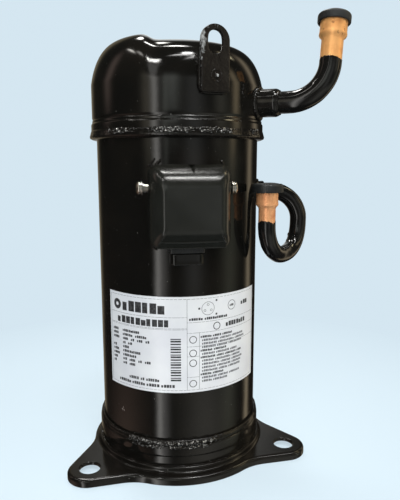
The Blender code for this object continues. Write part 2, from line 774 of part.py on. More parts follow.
def make_cover_screws():
    place = radial_frame(TERMINAL_ANGLE, TERMINAL_HEIGHT)
    for name, side, seat in (("left", 1, SCREW_SEATS[0]), ("right", -1, SCREW_SEATS[1])):
        profile = [(0, 0.0278), (0.0019, 0.0278), (0.0019, seat), (0.0052, seat), (0.0052, seat + 0.0010)]
        profile += [(0.0048, seat + 0.0014), (0.0048, seat + 0.0028), (0.0040, seat + 0.0044)]
        profile += [(0.0022, seat + 0.0052), (0, seat + 0.0054)]
        spot = Matrix.Translation((SCREW_RADIAL, 0, SCREW_HEIGHT))
        turn = Matrix.Rotation(math.radians(90 * side), 4, "X")
        turned(f"cover_screw_{name}", profile, ZINC, 12, place @ spot @ turn)


def make_cable_outlet():
    """Plastic bush below the fence and the steel clamp under it, both empty."""
    place = radial_frame(TERMINAL_ANGLE, TERMINAL_HEIGHT)
    floor = -FENCE_HALF[1] - FIT
    centre = Matrix.Translation((0.0920, OUTLET_SHIFT, 0))
    bush_outline = rounded_rectangle(0.0072, OUTLET_HALF, 0.0025, 3)
    bush = prism("cable_bush", bush_outline, floor - 0.0090, floor, COVER_PLASTIC, place @ centre)
    clamp_outline = rounded_rectangle(0.0066, OUTLET_HALF - 0.0008, 0.0050, 4)
    clamp_top = floor - 0.0093
    clamp = prism("cable_clamp", clamp_outline, clamp_top - 0.0100, clamp_top, BLACK_PAINT, place @ centre)
    hole = helper("cable_hole", rod, 0.0045, -0.07, 0.0, matrix=place @ centre)
    boolean(bush, "DIFFERENCE", hole)
    boolean(clamp, "DIFFERENCE", hole)


def make_label():
    bottom, top = LABEL_HEIGHTS
    inner = BODY_RADIUS + FIT
    steps = 30
    bm = bmesh.new()
    loops = []
    outer = inner + LABEL_SHEET
    for radius, height in ((inner, bottom), (outer, bottom), (outer, top), (inner, top)):
        points = arc((0, 0), radius, *LABEL_ANGLES, steps)
        loops.append([bm.verts.new((x, y, height)) for x, y in points])
    for index, here in enumerate(loops):
        after = loops[(index + 1) % 4]
        for step in range(steps):
            bm.faces.new((here[step], here[step + 1], after[step + 1], after[step]))
    bm.faces.new([loop[0] for loop in loops])
    bm.faces.new([loop[-1] for loop in loops])
    add_object("rating_label", bm, LABEL)


# ---- scroll set ---------------------------------------------------------------------


def wrap_outline(phase):
    """Involute wall of constant thickness, as (x, y) points."""
    half_turn = WRAP_THICKNESS / 2 / WRAP_BASE
    flanks = []
    for offset in (half_turn, -half_turn):
        flank = []
        for step in range(WRAP_STEPS + 1):
            roll = WRAP_START + (WRAP_END - WRAP_START) * step / WRAP_STEPS
            turn = roll + phase
            x = math.cos(turn) + (roll + offset) * math.sin(turn)
            y = math.sin(turn) - (roll + offset) * math.cos(turn)
            flank.append((WRAP_BASE * x, WRAP_BASE * y))
        flanks.append(flank)
    return flanks[0] + flanks[1][::-1]


def make_fixed_scroll():
    profile = [(0, PLATE_UNDERSIDE), (0.060, PLATE_UNDERSIDE), (0.0605, SCROLL_FACE)]
    profile += [(FIXED_RADIUS, SCROLL_FACE), (FIXED_RADIUS, FIXED_TOP), (0, FIXED_TOP)]
    scroll = turned("fixed_scroll", profile, IRON, INSIDE)
    wrap = helper("fixed_wrap", prism, wrap_outline(0), SCROLL_FACE, PLATE_UNDERSIDE + 0.002)
    boolean(scroll, "UNION", wrap)
    port = radial_frame(SUCTION_ANGLE, SUCTION_HEIGHT) @ lying_along_x()
    inlet = helper("scroll_inlet", rod, SUCTION_RADIUS + FIT, 0.054, 0.09, matrix=port)
    outlet = helper("scroll_outlet", rod, 0.0045, 0.35, 0.39, facets=24)
    boolean(scroll, "DIFFERENCE", inlet, outlet)
    for number, angle in enumerate(BOLT_ANGLES, 1):
        spot = Matrix.Translation(direction(angle) * BOLT_CIRCLE)
        hole = helper(f"bolt_hole_{number}", rod, BOLT_RADIUS + FIT, 0.33, 0.39, facets=16, matrix=spot)
        boolean(scroll, "DIFFERENCE", hole)
    clamp = helper("valve_thread", rod, 0.0019, FIXED_TOP - 0.008, FIXED_TOP + 0.01, facets=14,
                   matrix=Matrix.Translation((VALVE_ROOT, 0, 0)))
    boolean(scroll, "DIFFERENCE", clamp)


def make_orbiting_scroll():
    """The moving scroll, drawn with the crank at rest pointing along +X."""
    place = Matrix.Translation((ORBIT, 0, 0))
    hub_inner = 0.0155
    hub_outer = 0.0200
    profile = [(0, 0.3265), (hub_inner, 0.3265), (hub_inner, 0.3055), (hub_outer, 0.3055)]
    profile += [(hub_outer, ORBITING_BOTTOM), (ORBITING_RADIUS, ORBITING_BOTTOM)]
    profile += [(ORBITING_RADIUS, SCROLL_FACE - FIT), (0, SCROLL_FACE - FIT)]
    scroll = turned("orbiting_scroll", profile, ALUMINIUM, INSIDE, place)
    top = PLATE_UNDERSIDE - 0.0004
    wrap = helper("orbiting_wrap", prism, wrap_outline(math.pi), SCROLL_FACE - 0.002, top, matrix=place)
    boolean(scroll, "UNION", wrap)
    half = OLDHAM_KEY + 2 * ORBIT + FIT
    inner = OLDHAM_CENTRE - OLDHAM_KEY_LENGTH - ORBIT - FIT
    for side in (1, -1):
        low = (-half, min(side * inner, side * 0.07), ORBITING_BOTTOM - 0.01)
        high = (half, max(side * inner, side * 0.07), ORBITING_BOTTOM + 0.0052)
        slot = helper(f"scroll_key_{side + 2}", box, low, high, matrix=place)
        boolean(scroll, "DIFFERENCE", slot)
    tube("orbiting_bearing", hub_inner - FIT, BUSH_RADIUS + RUNNING, 0.3058, 0.3262, BRONZE, 32, place)


def make_oldham_ring():
    """Coupling ring: keys along X run in the frame, keys along Y in the moving scroll."""
    radii = (OLDHAM_CENTRE + 0.0050, OLDHAM_CENTRE - 0.0050)
    ring = tube("oldham_ring", *radii, 0.3210, 0.3268, ALUMINIUM, INSIDE)
    for side in (1, -1):
        near = OLDHAM_CENTRE - OLDHAM_KEY_LENGTH
        far = OLDHAM_CENTRE + OLDHAM_KEY_LENGTH
        low = (min(side * near, side * far), -OLDHAM_KEY, 0.3170)
        high = (max(side * near, side * far), OLDHAM_KEY, 0.3240)
        lower = helper(f"oldham_lower_{side + 2}", box, low, high)
        low = (-OLDHAM_KEY, min(side * near, side * far), 0.3240)
        high = (OLDHAM_KEY, max(side * near, side * far), 0.3318)
        upper = helper(f"oldham_upper_{side + 2}", box, low, high)
        boolean(ring, "UNION", lower, upper)


def make_main_frame():
    bearing = MAIN_JOURNAL + 0.0030
    profile = [(bearing, 0.262), (0.027, 0.262), (0.030, 0.286), (0.060, 0.297), (INSERT_RADIUS, 0.302)]
    profile += [(INSERT_RADIUS, SCROLL_FACE - FIT), (0.064, SCROLL_FACE - FIT), (0.064, 0.3206)]
    profile += [(0.0430, 0.3206), (0.0430, THRUST_FACE)]
    profile += [(0.028, THRUST_FACE), (0.028, 0.3035), (bearing, 0.3035)]
    frame = turned("main_frame", profile, IRON, INSIDE)
    for side in (1, -1):
        near = OLDHAM_CENTRE - OLDHAM_KEY_LENGTH - ORBIT - 0.0004
        far = OLDHAM_CENTRE + OLDHAM_KEY_LENGTH + ORBIT + 0.0004
        low = (min(side * near, side * far), -OLDHAM_KEY - 0.0003, 0.3164)
        high = (max(side * near, side * far), OLDHAM_KEY + 0.0003, 0.3250)
        boolean(frame, "DIFFERENCE", helper(f"frame_key_{side + 2}", box, low, high))
    for number, angle in enumerate(BOLT_ANGLES, 1):
        spot = Matrix.Translation(direction(angle) * BOLT_CIRCLE)
        size = (BOLT_RADIUS + FIT, 0.3180, 0.35)
        hole = helper(f"frame_thread_{number}", rod, *size, facets=16, matrix=spot)
        boolean(frame, "DIFFERENCE", hole)
        passage = radial_frame(angle + 45, 0)
        corners = ((0.0725, -0.010, 0.29), (0.08, 0.010, 0.35))
        notch = helper(f"gas_way_{number}", box, *corners, matrix=passage)
        boolean(frame, "DIFFERENCE", notch)
    tube("main_bearing", bearing - FIT, MAIN_JOURNAL + RUNNING, 0.2625, 0.3030, BRONZE, 32)


def make_scroll_bolts():
    for number, angle in enumerate(BOLT_ANGLES, 1):
        spot = Matrix.Translation(direction(angle) * BOLT_CIRCLE)
        head = FIXED_TOP + FIT
        profile = [(0, 0.3200), (BOLT_RADIUS, 0.3200), (BOLT_RADIUS, head), (0.0048, head)]
        profile += [(0.0048, head + 0.0040), (0.0042, head + 0.0046), (0, head + 0.0046)]
        turned(f"scroll_bolt_{number}", profile, ZINC, 12, spot)


# ---- discharge valve ----------------------------------------------------------------


def make_valve():
    """Reed over the central port, its curved stop, the screw that holds both, the muffler."""
    top = FIXED_TOP
    reed_low = top + FIT
    reed_high = reed_low + 0.0006
    pad = arc((0, 0), 0.0075, -150, 150, 14)
    tail = arc((VALVE_ROOT, 0), 0.0038, 90, 270, 8)
    reed = prism("valve_reed", pad + tail, reed_low, reed_high, STEEL)
    hole = helper("reed_hole", rod, 0.0021, top - 0.01, top + 0.02, facets=14,
                  matrix=Matrix.Translation((VALVE_ROOT, 0, 0)))
    boolean(reed, "DIFFERENCE", hole)
    foot = reed_high + FIT
    lift = 0.0026
    stops = ((VALVE_ROOT - 0.004, 0), (VALVE_ROOT + 0.004, 0), (-0.008, lift * 0.5), (0.008, lift))
    sections = []
    for x, rise in stops:
        low = foot + rise
        high = low + 0.002
        sections.append([(x, -0.005, low), (x, 0.005, low), (x, 0.005, high), (x, -0.005, high)])
    stop = lofted("valve_stop", sections, STEEL)
    boolean(stop, "DIFFERENCE", hole)
    thread = 0.0017
    head = foot + 0.002 + FIT
    screw = [(0, top - 0.007), (thread, top - 0.007), (thread, head), (0.0032, head)]
    screw += [(0.0032, head + 0.0022), (0, head + 0.0024)]
    turned("valve_screw", screw, ZINC, 14, Matrix.Translation((VALVE_ROOT, 0, 0)))
    low = top + FIT
    outside = [(0.0415, low), (0.0415, low + 0.0016), (0.0365, low + 0.0016)]
    outside += [(0.0345, low + 0.0120), (0.030, low + 0.0150)]
    inside = [(0.029, low + 0.0134), (0.0330, low + 0.0112), (0.0352, low)]
    muffler = turned("muffler_cover", [*outside, (0, low + 0.0150), (0, low + 0.0134), *inside], STEEL, 24)
    for number, angle in enumerate(MUFFLER_VENTS):
        spot = Matrix.Translation(direction(angle) * 0.021)
        vent = helper(f"muffler_vent_{number}", rod, 0.004, top + 0.009, top + 0.03, facets=16, matrix=spot)
        boolean(muffler, "DIFFERENCE", vent)


# ---- shaft and motor ----------------------------------------------------------------


def make_crankshaft():
    """Shaft with its crank pin along +X at rest, bored from below for the oil tube."""
    profile = [(0, 0.0760), (0.0060, 0.0760), (0.0060, SHAFT_BOTTOM), (LOWER_JOURNAL, SHAFT_BOTTOM)]
    profile += [(LOWER_JOURNAL, 0.1060), (ROTOR_SEAT, 0.1060), (ROTOR_SEAT, 0.2140)]
    profile += [(MAIN_JOURNAL, 0.2140), (MAIN_JOURNAL, 0.3045), (0, 0.3045)]
    shaft = turned("crankshaft", profile, STEEL, 32)
    offset = Matrix.Translation((ORBIT, 0, 0))
    pin = helper("crank_pin", rod, PIN_JOURNAL, 0.3000, 0.3255, facets=32, matrix=offset)
    boolean(shaft, "UNION", pin)
    tube("crank_bush", BUSH_RADIUS, PIN_JOURNAL + FIT, 0.3060, 0.3255, BRONZE, 32, offset)
    tube("oil_tube", 0.0057, 0.0042, 0.0160, 0.0740, STEEL, 16)


def sector(name, inner, outer, middle, bottom, top, material):
    """Half ring about the axis, centred on an angle in degrees."""
    outline = arc((0, 0), outer, middle - 80, middle + 80, 20)
    outline += arc((0, 0), inner, middle + 80, middle - 80, 16)
    prism(name, outline, bottom, top, material)


def make_rotor():
    tube("rotor_core", ROTOR_RADIUS, ROTOR_SEAT + FIT, STACK_BOTTOM, STACK_TOP, LAMINATION, INSIDE)
    tube("rotor_ring_upper", 0.0390, 0.0240, STACK_TOP + FIT, STACK_TOP + 0.0100, ALUMINIUM, 28)
    tube("rotor_ring_lower", 0.0390, 0.0240, STACK_BOTTOM - 0.0100, STACK_BOTTOM - FIT, ALUMINIUM, 28)
    sector("counterweight_upper", 0.0200, 0.0380, 180, STACK_TOP + 0.0103, STACK_TOP + 0.0330, BRONZE)
    sector("counterweight_lower", 0.0260, 0.0380, 0, STACK_BOTTOM - 0.0260, STACK_BOTTOM - 0.0103, BRONZE)


def slot_bars(name, half_width, inner, outer, bottom, top):
    """One helper holding a bar in each slot of the stator."""
    bm = bmesh.new()
    for index in range(SLOTS):
        turn = Matrix.Rotation(2 * math.pi * (index + 0.5) / SLOTS, 4, "Z")
        wide = half_width * 1.2
        corners = ((inner, -half_width), (outer, -wide), (outer, wide), (inner, half_width))
        low = [bm.verts.new(turn @ Vector((x, y, bottom))) for x, y in corners]
        high = [bm.verts.new(turn @ Vector((x, y, top))) for x, y in corners]
        add_loops(bm, [low, high], closed=False)
        bm.faces.new(low)
        bm.faces.new(high)
    return add_object(f"helper_{name}", bm, STEEL)


def make_stator():
    core = tube("stator_core", INSERT_RADIUS, STATOR_BORE, STACK_BOTTOM, STACK_TOP, LAMINATION, INSIDE)
    boolean(core, "DIFFERENCE", slot_bars("slots", 0.0028, 0.0440, 0.0610, 0.11, 0.21))
    boolean(core, "DIFFERENCE", slot_bars("slot_mouths", 0.0010, 0.0390, 0.0445, 0.11, 0.21))
    for number in range(4):
        way = radial_frame(45 + 90 * number, 0)
        corners = ((0.0735, -0.012, 0.11), (0.08, 0.012, 0.21))
        boolean(core, "DIFFERENCE", helper(f"oil_way_{number}", box, *corners, matrix=way))
    upper = [(0.0450, STACK_TOP + FIT), (0.0680, STACK_TOP + FIT), (0.0715, 0.224)]
    upper += [(0.0650, WINDING_TOP), (0.0530, WINDING_TOP), (0.0460, 0.224)]
    winding = turned("stator_winding", upper, MAGNET_WIRE, INSIDE)
    lower = [(0.0450, STACK_BOTTOM - FIT), (0.0460, 0.097), (0.0530, WINDING_BOTTOM)]
    lower += [(0.0650, WINDING_BOTTOM), (0.0715, 0.097), (0.0680, STACK_BOTTOM - FIT)]
    end_turn = helper("lower_end_turn", turned, lower, facets=INSIDE)
    bars = slot_bars("conductors", 0.0025, 0.0450, 0.0606, 0.112, 0.208)
    boolean(winding, "UNION", end_turn, bars)


def make_internal_leads():
    place = radial_frame(TERMINAL_ANGLE, TERMINAL_HEIGHT)
    block = box("terminal_plug", (0.0575, -0.016, -0.011), (0.0680, 0.016, 0.017), INSULATOR, place)
    for number in range(3):
        turn = math.radians(90 + 120 * number)
        offset = Matrix.Translation((0, PIN_CIRCLE * math.cos(turn), PIN_CIRCLE * math.sin(turn)))
        hole = helper(f"plug_pin_{number}", rod, PIN_RADIUS + FIT, 0.0595, 0.08, facets=14,
                      matrix=place @ offset @ lying_along_x())
        boolean(block, "DIFFERENCE", hole)
    spot = Matrix.Translation(direction(TERMINAL_ANGLE) * 0.0620)
    rod("motor_leads", 0.0040, WINDING_TOP + FIT, TERMINAL_HEIGHT - 0.011 - FIT, INSULATOR, 16, spot)


def make_lower_bearing():
    bore = 0.0130
    profile = [(bore, SHAFT_BOTTOM), (0.0215, SHAFT_BOTTOM), (0.0230, 0.0640), (INSERT_RADIUS, 0.0640)]
    profile += [(INSERT_RADIUS, 0.0740), (0.0700, 0.0740), (0.0680, 0.0700)]
    profile += [(0.0240, 0.0700), (0.0215, 0.0800), (bore, 0.0800)]
    bracket = turned("lower_bracket", profile, IRON, INSIDE)
    for number in range(3):
        low = 120 * number - 42
        outline = arc((0, 0), 0.0640, low, low + 84, 8) + arc((0, 0), 0.0290, low + 78, low + 6, 5)
        boolean(bracket, "DIFFERENCE", helper(f"bracket_window_{number}", prism, outline, 0.05, 0.09))
    tube("lower_bearing", bore - FIT, LOWER_JOURNAL + RUNNING, 0.0563, 0.0797, BRONZE, 32)
    tube("thrust_plate", 0.0200, 0.0064, 0.0527, SHAFT_BOTTOM - FIT, STEEL, 20)


make_base_plate()
make_bottom_cup()
make_weld_beads()
make_body()
make_top_cap()
make_lifting_lug()
make_suction_line()
make_discharge_line()
make_terminal()
make_fence()
make_cover()
make_cover_screws()
make_cable_outlet()
make_label()
make_fixed_scroll()
make_orbiting_scroll()
make_oldham_ring()
make_main_frame()
make_scroll_bolts()
make_valve()
make_crankshaft()
make_rotor()
make_stator()
make_internal_leads()
make_lower_bearing()

# ---- what moves, carried by an empty on each joint's axis ---------------------------------

rotor = ("rotor_core", "rotor_ring_upper", "rotor_ring_lower")
weights = ("counterweight_upper", "counterweight_lower")
pivot("orbit_axis", (ORBIT, 0, ORBIT_LEVEL), "orbiting_scroll", "orbiting_bearing")
shaft = ("crankshaft", "crank_bush", "oil_tube")
pivot("crank_axis", (0, 0, CRANK_LEVEL), *shaft, *rotor, *weights, "orbit_axis")
pivot("ring_slide", (0, 0, THRUST_FACE), "oldham_ring")
pivot("reed_root", (VALVE_ROOT, 0, FIXED_TOP + FIT), "valve_reed")
cover_centre = direction(TERMINAL_ANGLE) * COVER_FACE + Vector((0, 0, TERMINAL_HEIGHT))
pivot("cover_slide", cover_centre, "terminal_cover")
pivot("suction_plug_slide", suction_path()[-1], "suction_plug")
pivot("discharge_plug_slide", discharge_path()[-1], "discharge_plug")
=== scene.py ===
"""Looks of a hermetic scroll compressor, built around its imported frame.

Everything is in metres with +Z up, in the frame's own coordinates: the body stands on
its axis, the terminal cover faces -Y and both pipes leave towards +X. Faceted shells,
pipes and pressings of the frame are replaced by fine meshes of the same size, with
rolled edges, weld beads and paint films. Pieces of the frame that stay get materials.
"""
import math

import bmesh
import bpy
from mathutils import Matrix, Vector, noise


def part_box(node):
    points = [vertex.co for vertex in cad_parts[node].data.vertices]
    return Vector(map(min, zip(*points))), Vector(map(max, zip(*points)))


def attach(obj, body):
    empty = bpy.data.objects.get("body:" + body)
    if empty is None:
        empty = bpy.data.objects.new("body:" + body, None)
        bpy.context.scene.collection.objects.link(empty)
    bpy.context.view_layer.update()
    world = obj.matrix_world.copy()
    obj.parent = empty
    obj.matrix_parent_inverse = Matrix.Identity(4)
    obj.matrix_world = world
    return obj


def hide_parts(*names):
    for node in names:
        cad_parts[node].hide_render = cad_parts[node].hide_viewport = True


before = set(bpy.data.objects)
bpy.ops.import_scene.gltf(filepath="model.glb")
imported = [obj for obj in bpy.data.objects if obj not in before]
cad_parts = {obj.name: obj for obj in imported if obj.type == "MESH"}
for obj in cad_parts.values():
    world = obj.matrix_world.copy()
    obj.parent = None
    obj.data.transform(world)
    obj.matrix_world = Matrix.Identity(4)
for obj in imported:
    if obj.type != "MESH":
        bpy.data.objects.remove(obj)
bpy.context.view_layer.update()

# ---- sizes, from the frame where it holds them ------------------------------------------

SHELL_LOW, SHELL_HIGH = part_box("body_shell")
CAP_LOW, CAP_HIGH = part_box("top_cap")
CUP_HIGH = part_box("bottom_cup")[1]
PLATE_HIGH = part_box("base_plate")[1]
LABEL_LOW, LABEL_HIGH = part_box("rating_label")
LUG_LOW, LUG_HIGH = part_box("lifting_lug")

BODY_RADIUS = SHELL_HIGH.x
BODY_WALL = 0.0033
SKIRT_RADIUS = CAP_HIGH.x
SKIRT_BOTTOM = CAP_LOW.z
SKIRT_STEP = SKIRT_BOTTOM + 0.013
CAP_RADIUS = SKIRT_RADIUS - 0.0008
CAP_WALL = 0.0037
SHOULDER = 0.3683
DOME_TOP = 0.4117
DOME_FULLNESS = 6.8
DOME_ROUNDING = 0.737
PRESS_DEPTH = 0.0067
PRESS_EDGE = -0.0246
PRESS_SOFTNESS = 0.0026

CUP_RADIUS = 0.083
CUP_TOP = CUP_HIGH.z
CUP_LIP = CUP_TOP - 0.0105
COLLAR_TOP = PLATE_HIGH.z
PLATE_TOP = 0.008
PLATE_SHEET = 0.0035
PLATE_EDGE = 0.0032
FOOT_ANGLES = (-139.0, -19.0, 101.0)
FOOT_CIRCLE = 0.114
FOOT_TIP = 0.021
FOOT_TAPER = 29.3
FOOT_HOLE = 0.0098
BULGES = (0.096, 0.091, 0.091)

TERMINAL_ANGLE = -83.5
TERMINAL_HEIGHT = 0.259
COVER_BACK = 0.070
COVER_HALF = (0.0350, 0.0355)
COVER_FACE = 0.1150
BEVEL_DEPTH = 0.0205
BEVEL_INSET = 0.0125
BEVEL_ABOVE = 1.60
BEVEL_BELOW = 1.41
BEVEL_PITCH = 0.05 / 64
SCREW_SEATS = (0.0407, 0.0356)
SCREW_HEIGHT = 0.016
SCREW_RADIAL = 0.0935
LEFT_SCREW_FREE = 0.0048
OUTLET_SHIFT = -0.0033

LUG_ANGLE = -68.5
LUG_HALF = 0.0132
LUG_NEAR = 0.0846
LUG_THICKNESS = 0.0045
EYE_HALF = 0.0071

SUCTION_ANGLE = -24.0
SUCTION_HEIGHT = 0.351
SUCTION_LEAN = Vector((0.10, 0.16, 1.0)).normalized()
SUCTION_END = 0.4205
DISCHARGE_ANGLE = -3.0
DISCHARGE_HEIGHT = 0.268
DISCHARGE_NEAR = Vector((0.083, -0.055, 0.270))
FILM = 0.00022  # paint film on the copper
BEAD_RIPPLE = 0.0026

LABEL_ANGLES = (-144.5, -25.0)
LABEL_RADIUS = 0.0806
RULE = 0.00032  # width of a printed line

CAMERA_PLACE = (0.0, -0.5432, 0.295)
CAMERA_TURN = (math.radians(80.72), 0.0, math.radians(-2.39))
LENS = 37.944
BACKDROP = (0.665, 0.795, 0.880)

UP = Vector((0, 0, 1))
ALONG_X = Matrix.Rotation(math.radians(90), 4, "Y")


# ---- mesh tools -------------------------------------------------------------------------


def clamp(value):
    return min(max(value, 0.0), 1.0)


def vectors(points):
    return [Vector(point) for point in points]


def polar(angle, radius=1.0, height=0.0):
    turn = math.radians(angle)
    return Vector((radius * math.cos(turn), radius * math.sin(turn), height))


def turns(start, stop, steps):
    """Angles in radians between two angles in degrees, both ends included."""
    return [math.radians(start + (stop - start) * step / steps) for step in range(steps + 1)]


def full_turn(count):
    return [2 * math.pi * step / count for step in range(count)]


def station(angle, height):
    """Local X points out from the body's axis, local Y runs round it and local Z is up."""
    return Matrix.Translation((0, 0, height)) @ Matrix.Rotation(math.radians(angle), 4, "Z")


def standing(point, direction):
    """Place at a point whose local Z is along a direction."""
    return Matrix.Translation(point) @ UP.rotation_difference(direction).to_matrix().to_4x4()


def rough(point, pitch, seed=0.0):
    """Smooth noise from -1 to 1, whose lumps are about pitch metres wide."""
    return noise.noise(Vector(point) / pitch + Vector((seed, -seed, 2 * seed)))


def link(name, data):
    """New object in the scene for this data."""
    thing = bpy.data.objects.new(name, data)
    bpy.context.scene.collection.objects.link(thing)
    return thing


def soften(mesh, sharp):
    mesh.shade_smooth()
    mesh.set_sharp_from_angle(angle=math.radians(sharp))


def finish_mesh(name, bm, material, place=None, sharp=38.0):
    if place is not None:
        bm.transform(place)
    bmesh.ops.recalc_face_normals(bm, faces=bm.faces)
    mesh = bpy.data.meshes.new(name)
    bm.to_mesh(mesh)
    bm.free()
    mesh.materials.append(material)
    soften(mesh, sharp)
    return link(name, mesh)


def skin(name, rings, material, closed=True, place=None, sharp=38.0, capped=True):
    """Mesh through rings of equally many points; a ring of one point is a pole."""
    bm = bmesh.new()
    loops = [[bm.verts.new(point) for point in ring] for ring in rings]
    pairs = list(zip(loops, loops[1:]))
    if closed:
        pairs.append((loops[-1], loops[0]))
    for here, after in pairs:
        count = max(len(here), len(after))
        for side in range(count if count > 1 else 0):
            beyond = (side + 1) % count
            corners = (here[side % len(here)], here[beyond % len(here)],
                       after[beyond % len(after)], after[side % len(after)])
            bm.faces.new(list(dict.fromkeys(corners)))
    if not closed and capped:
        bm.faces.new(loops[0])
        bm.faces.new(loops[-1])
    return finish_mesh(name, bm, material, place, sharp)


def curve(start, control, end, steps=8):
    """Parabola from start to end that leaves and arrives along lines to control."""
    parts = (step / steps for step in range(steps + 1))
    return [start * (1 - part) ** 2 + control * 2 * part * (1 - part) + end * part**2 for part in parts]


def rounded(corners, steps=5, closed=True):
    """Outline through (x, y, setback) corners, each rounded off by its setback."""
    points = []
    for index, (x, y, setback) in enumerate(corners):
        at = Vector((x, y))
        end = not closed and index in (0, len(corners) - 1)
        if setback <= 0 or end:
            points.append(at)
            continue
        before = Vector(corners[index - 1][:2]) - at
        after = Vector(corners[(index + 1) % len(corners)][:2]) - at
        reach = min(setback, 0.49 * before.length, 0.49 * after.length)
        points += curve(at + before.normalized() * reach, at, at + after.normalized() * reach, steps)
    return points


def spaced(points, longest, closed=True):
    """The same outline with no run longer than this."""
    result = []
    for index in range(len(points) if closed else len(points) - 1):
        here = points[index]
        after = points[(index + 1) % len(points)]
        parts = max(1, math.ceil((after - here).length / longest))
        result += [here.lerp(after, step / parts) for step in range(parts)]
    return result if closed else result + [points[-1]]


def circle(radius, height, segments):
    return [Vector((radius * math.cos(turn), radius * math.sin(turn), height))
            for turn in full_turn(segments)]


def arc(centre, radius, start, end, steps):
    return [Vector((centre[0] + radius * math.cos(turn), centre[1] + radius * math.sin(turn)))
            for turn in turns(start, end, steps)]


def inset(outline, distance):
    moved = []
    for index, here in enumerate(outline):
        ahead = (outline[(index + 1) % len(outline)] - outline[index - 1]).normalized()
        moved.append(here + Vector((-ahead.y, ahead.x)) * distance)
    return moved


def turned(name, profile, material, segments=128, place=None, shape=None, sharp=38.0):
    """Body turned about Z from a closed profile of (radius, height) points."""
    rings = []
    for radius, height in profile:
        ring = [Vector((0, 0, height))] if radius < 1e-6 else circle(radius, height, segments)
        rings.append([shape(point) for point in ring] if shape else ring)
    return skin(name, rings, material, place=place, sharp=sharp)


def rod(name, radius, low, high, place, segments=64):
    """Round tool for cut()."""
    return turned(name, [(0, low), (radius, low), (radius, high), (0, high)], None, segments, place)


def slab(name, low, high, place):
    """Block-shaped tool for cut()."""
    sides = ((low[1], low[2]), (high[1], low[2]), (high[1], high[2]), (low[1], high[2]))
    sections = [[Vector((x, *side)) for side in sides] for x in (low[0], high[0])]
    return skin(name, sections, None, closed=False, place=place)


def cut(piece, *tools):
    """Cut the tools out of the piece for good, and remove them."""
    for tool in tools:
        modifier = piece.modifiers.new(tool.name, "BOOLEAN")
        modifier.operation = "DIFFERENCE"
        modifier.solver = "EXACT"
        modifier.object = tool
    graph = bpy.context.evaluated_depsgraph_get()
    mesh = bpy.data.meshes.new_from_object(piece.evaluated_get(graph), depsgraph=graph)
    piece.modifiers.clear()
    piece.data = mesh
    soften(mesh, 38.0)
    for tool in tools:
        bpy.data.objects.remove(tool)


def length_of(path):
    return sum((after - before).length for before, after in zip(path, path[1:]))


def swept(name, path, outer, inner, material, facets=48):
    """Tube along a path. outer and inner give a radius from the distance and the turn."""
    last = len(path) - 1
    tangents = [(path[min(index + 1, last)] - path[max(index - 1, 0)]).normalized()
                for index in range(last + 1)]
    side = tangents[0].cross(Vector((0, 1, 0))).normalized()
    travelled = 0.0
    outside, inside = [], []
    for index, (point, tangent) in enumerate(zip(path, tangents)):
        travelled += (point - path[index - 1]).length if index else 0.0
        side = (side - tangent * side.dot(tangent)).normalized()
        across = tangent.cross(side)
        spokes = [(turn, side * math.cos(turn) + across * math.sin(turn)) for turn in full_turn(facets)]
        outside.append([point + spoke * outer(travelled, turn) for turn, spoke in spokes])
        inside.append([point + spoke * inner(travelled, turn) for turn, spoke in spokes])
    return skin(name, outside + inside[::-1], material)


def resampled(path, spacing):
    """Points at an even spacing along a path."""
    lengths = [(after - before).length for before, after in zip(path, path[1:])]
    total = sum(lengths)
    count = max(2, round(total / spacing))
    result = [path[0].copy()]
    index = 0
    passed = 0.0
    for step in range(1, count):
        goal = total * step / count
        while passed + lengths[index] < goal:
            passed += lengths[index]
            index += 1
        result.append(path[index].lerp(path[index + 1], (goal - passed) / lengths[index]))
    result.append(path[-1].copy())
    return result


def bend(corner, incoming, outgoing, radius, steps=24):
    """Points of a round bend that turns from one direction to another at this corner."""
    whole = incoming.angle(outgoing)
    start = corner - incoming * radius * math.tan(whole / 2)
    inward = (outgoing - incoming * incoming.dot(outgoing)).normalized()
    angles = (whole * step / steps for step in range(steps + 1))
    return [start + (incoming * math.sin(turn) + inward * (1 - math.cos(turn))) * radius for turn in angles]


def bead(name, path, up, wide, tall, material, seed, closed=True, coarse=1.0, facets=14, section=None):
    """Weld bead with ripples and lumps; wide lies across the path and tall along up.

    A section gives its outline instead, as (across, along up, share of the roughness).
    """
    if section is None:
        section = [(math.cos(turn) * wide, math.sin(turn) * tall, 1.0) for turn in full_turn(facets)]
    rings = []
    count = len(path)
    travelled = 0.0
    for index, point in enumerate(path):
        before = path[index - 1] if closed or index else point
        after = path[(index + 1) % count] if closed or index < count - 1 else point
        travelled += (point - path[index - 1]).length if index else 0.0
        tangent = (after - before).normalized()
        side = tangent.cross(up).normalized()
        lift = side.cross(tangent)
        wave = 0.10 * math.sin(2 * math.pi * travelled / BEAD_RIPPLE + 1.5 * rough(point, 0.008, seed))
        lump = wave + 0.30 * rough(point, 0.006, seed) + 0.16 * rough(point, 0.0022, seed + 3)
        taper = 1.0 if closed else min(1.0, 6 * (index + 0.4) / count, 6 * (count - index - 0.6) / count)
        ring = []
        for across, rise, share in section:
            spoke = side * across + lift * rise
            there = point + spoke
            fine = 0.20 * rough(there, 0.0013, seed + 7) + 0.12 * rough(there, 0.0007, seed + 9)
            ring.append(point + spoke * (1 + coarse * share * (lump + fine)) * taper)
        rings.append(ring)
    return skin(name, rings, material, closed=closed, sharp=60.0)


def level_ring(radius, height, spacing=0.0008):
    return circle(radius, height, round(2 * math.pi * radius / spacing))


def level_run(start, stop, radius, height, wander, seed, spacing=0.0007):
    """Open run round the body, that wanders up and down a little."""
    count = round(math.radians(stop - start) * radius / spacing)
    return [polar(start + (stop - start) * step / count, radius,
                  height + wander * rough((step * spacing, 0, 0), 0.006, seed)) for step in range(count + 1)]


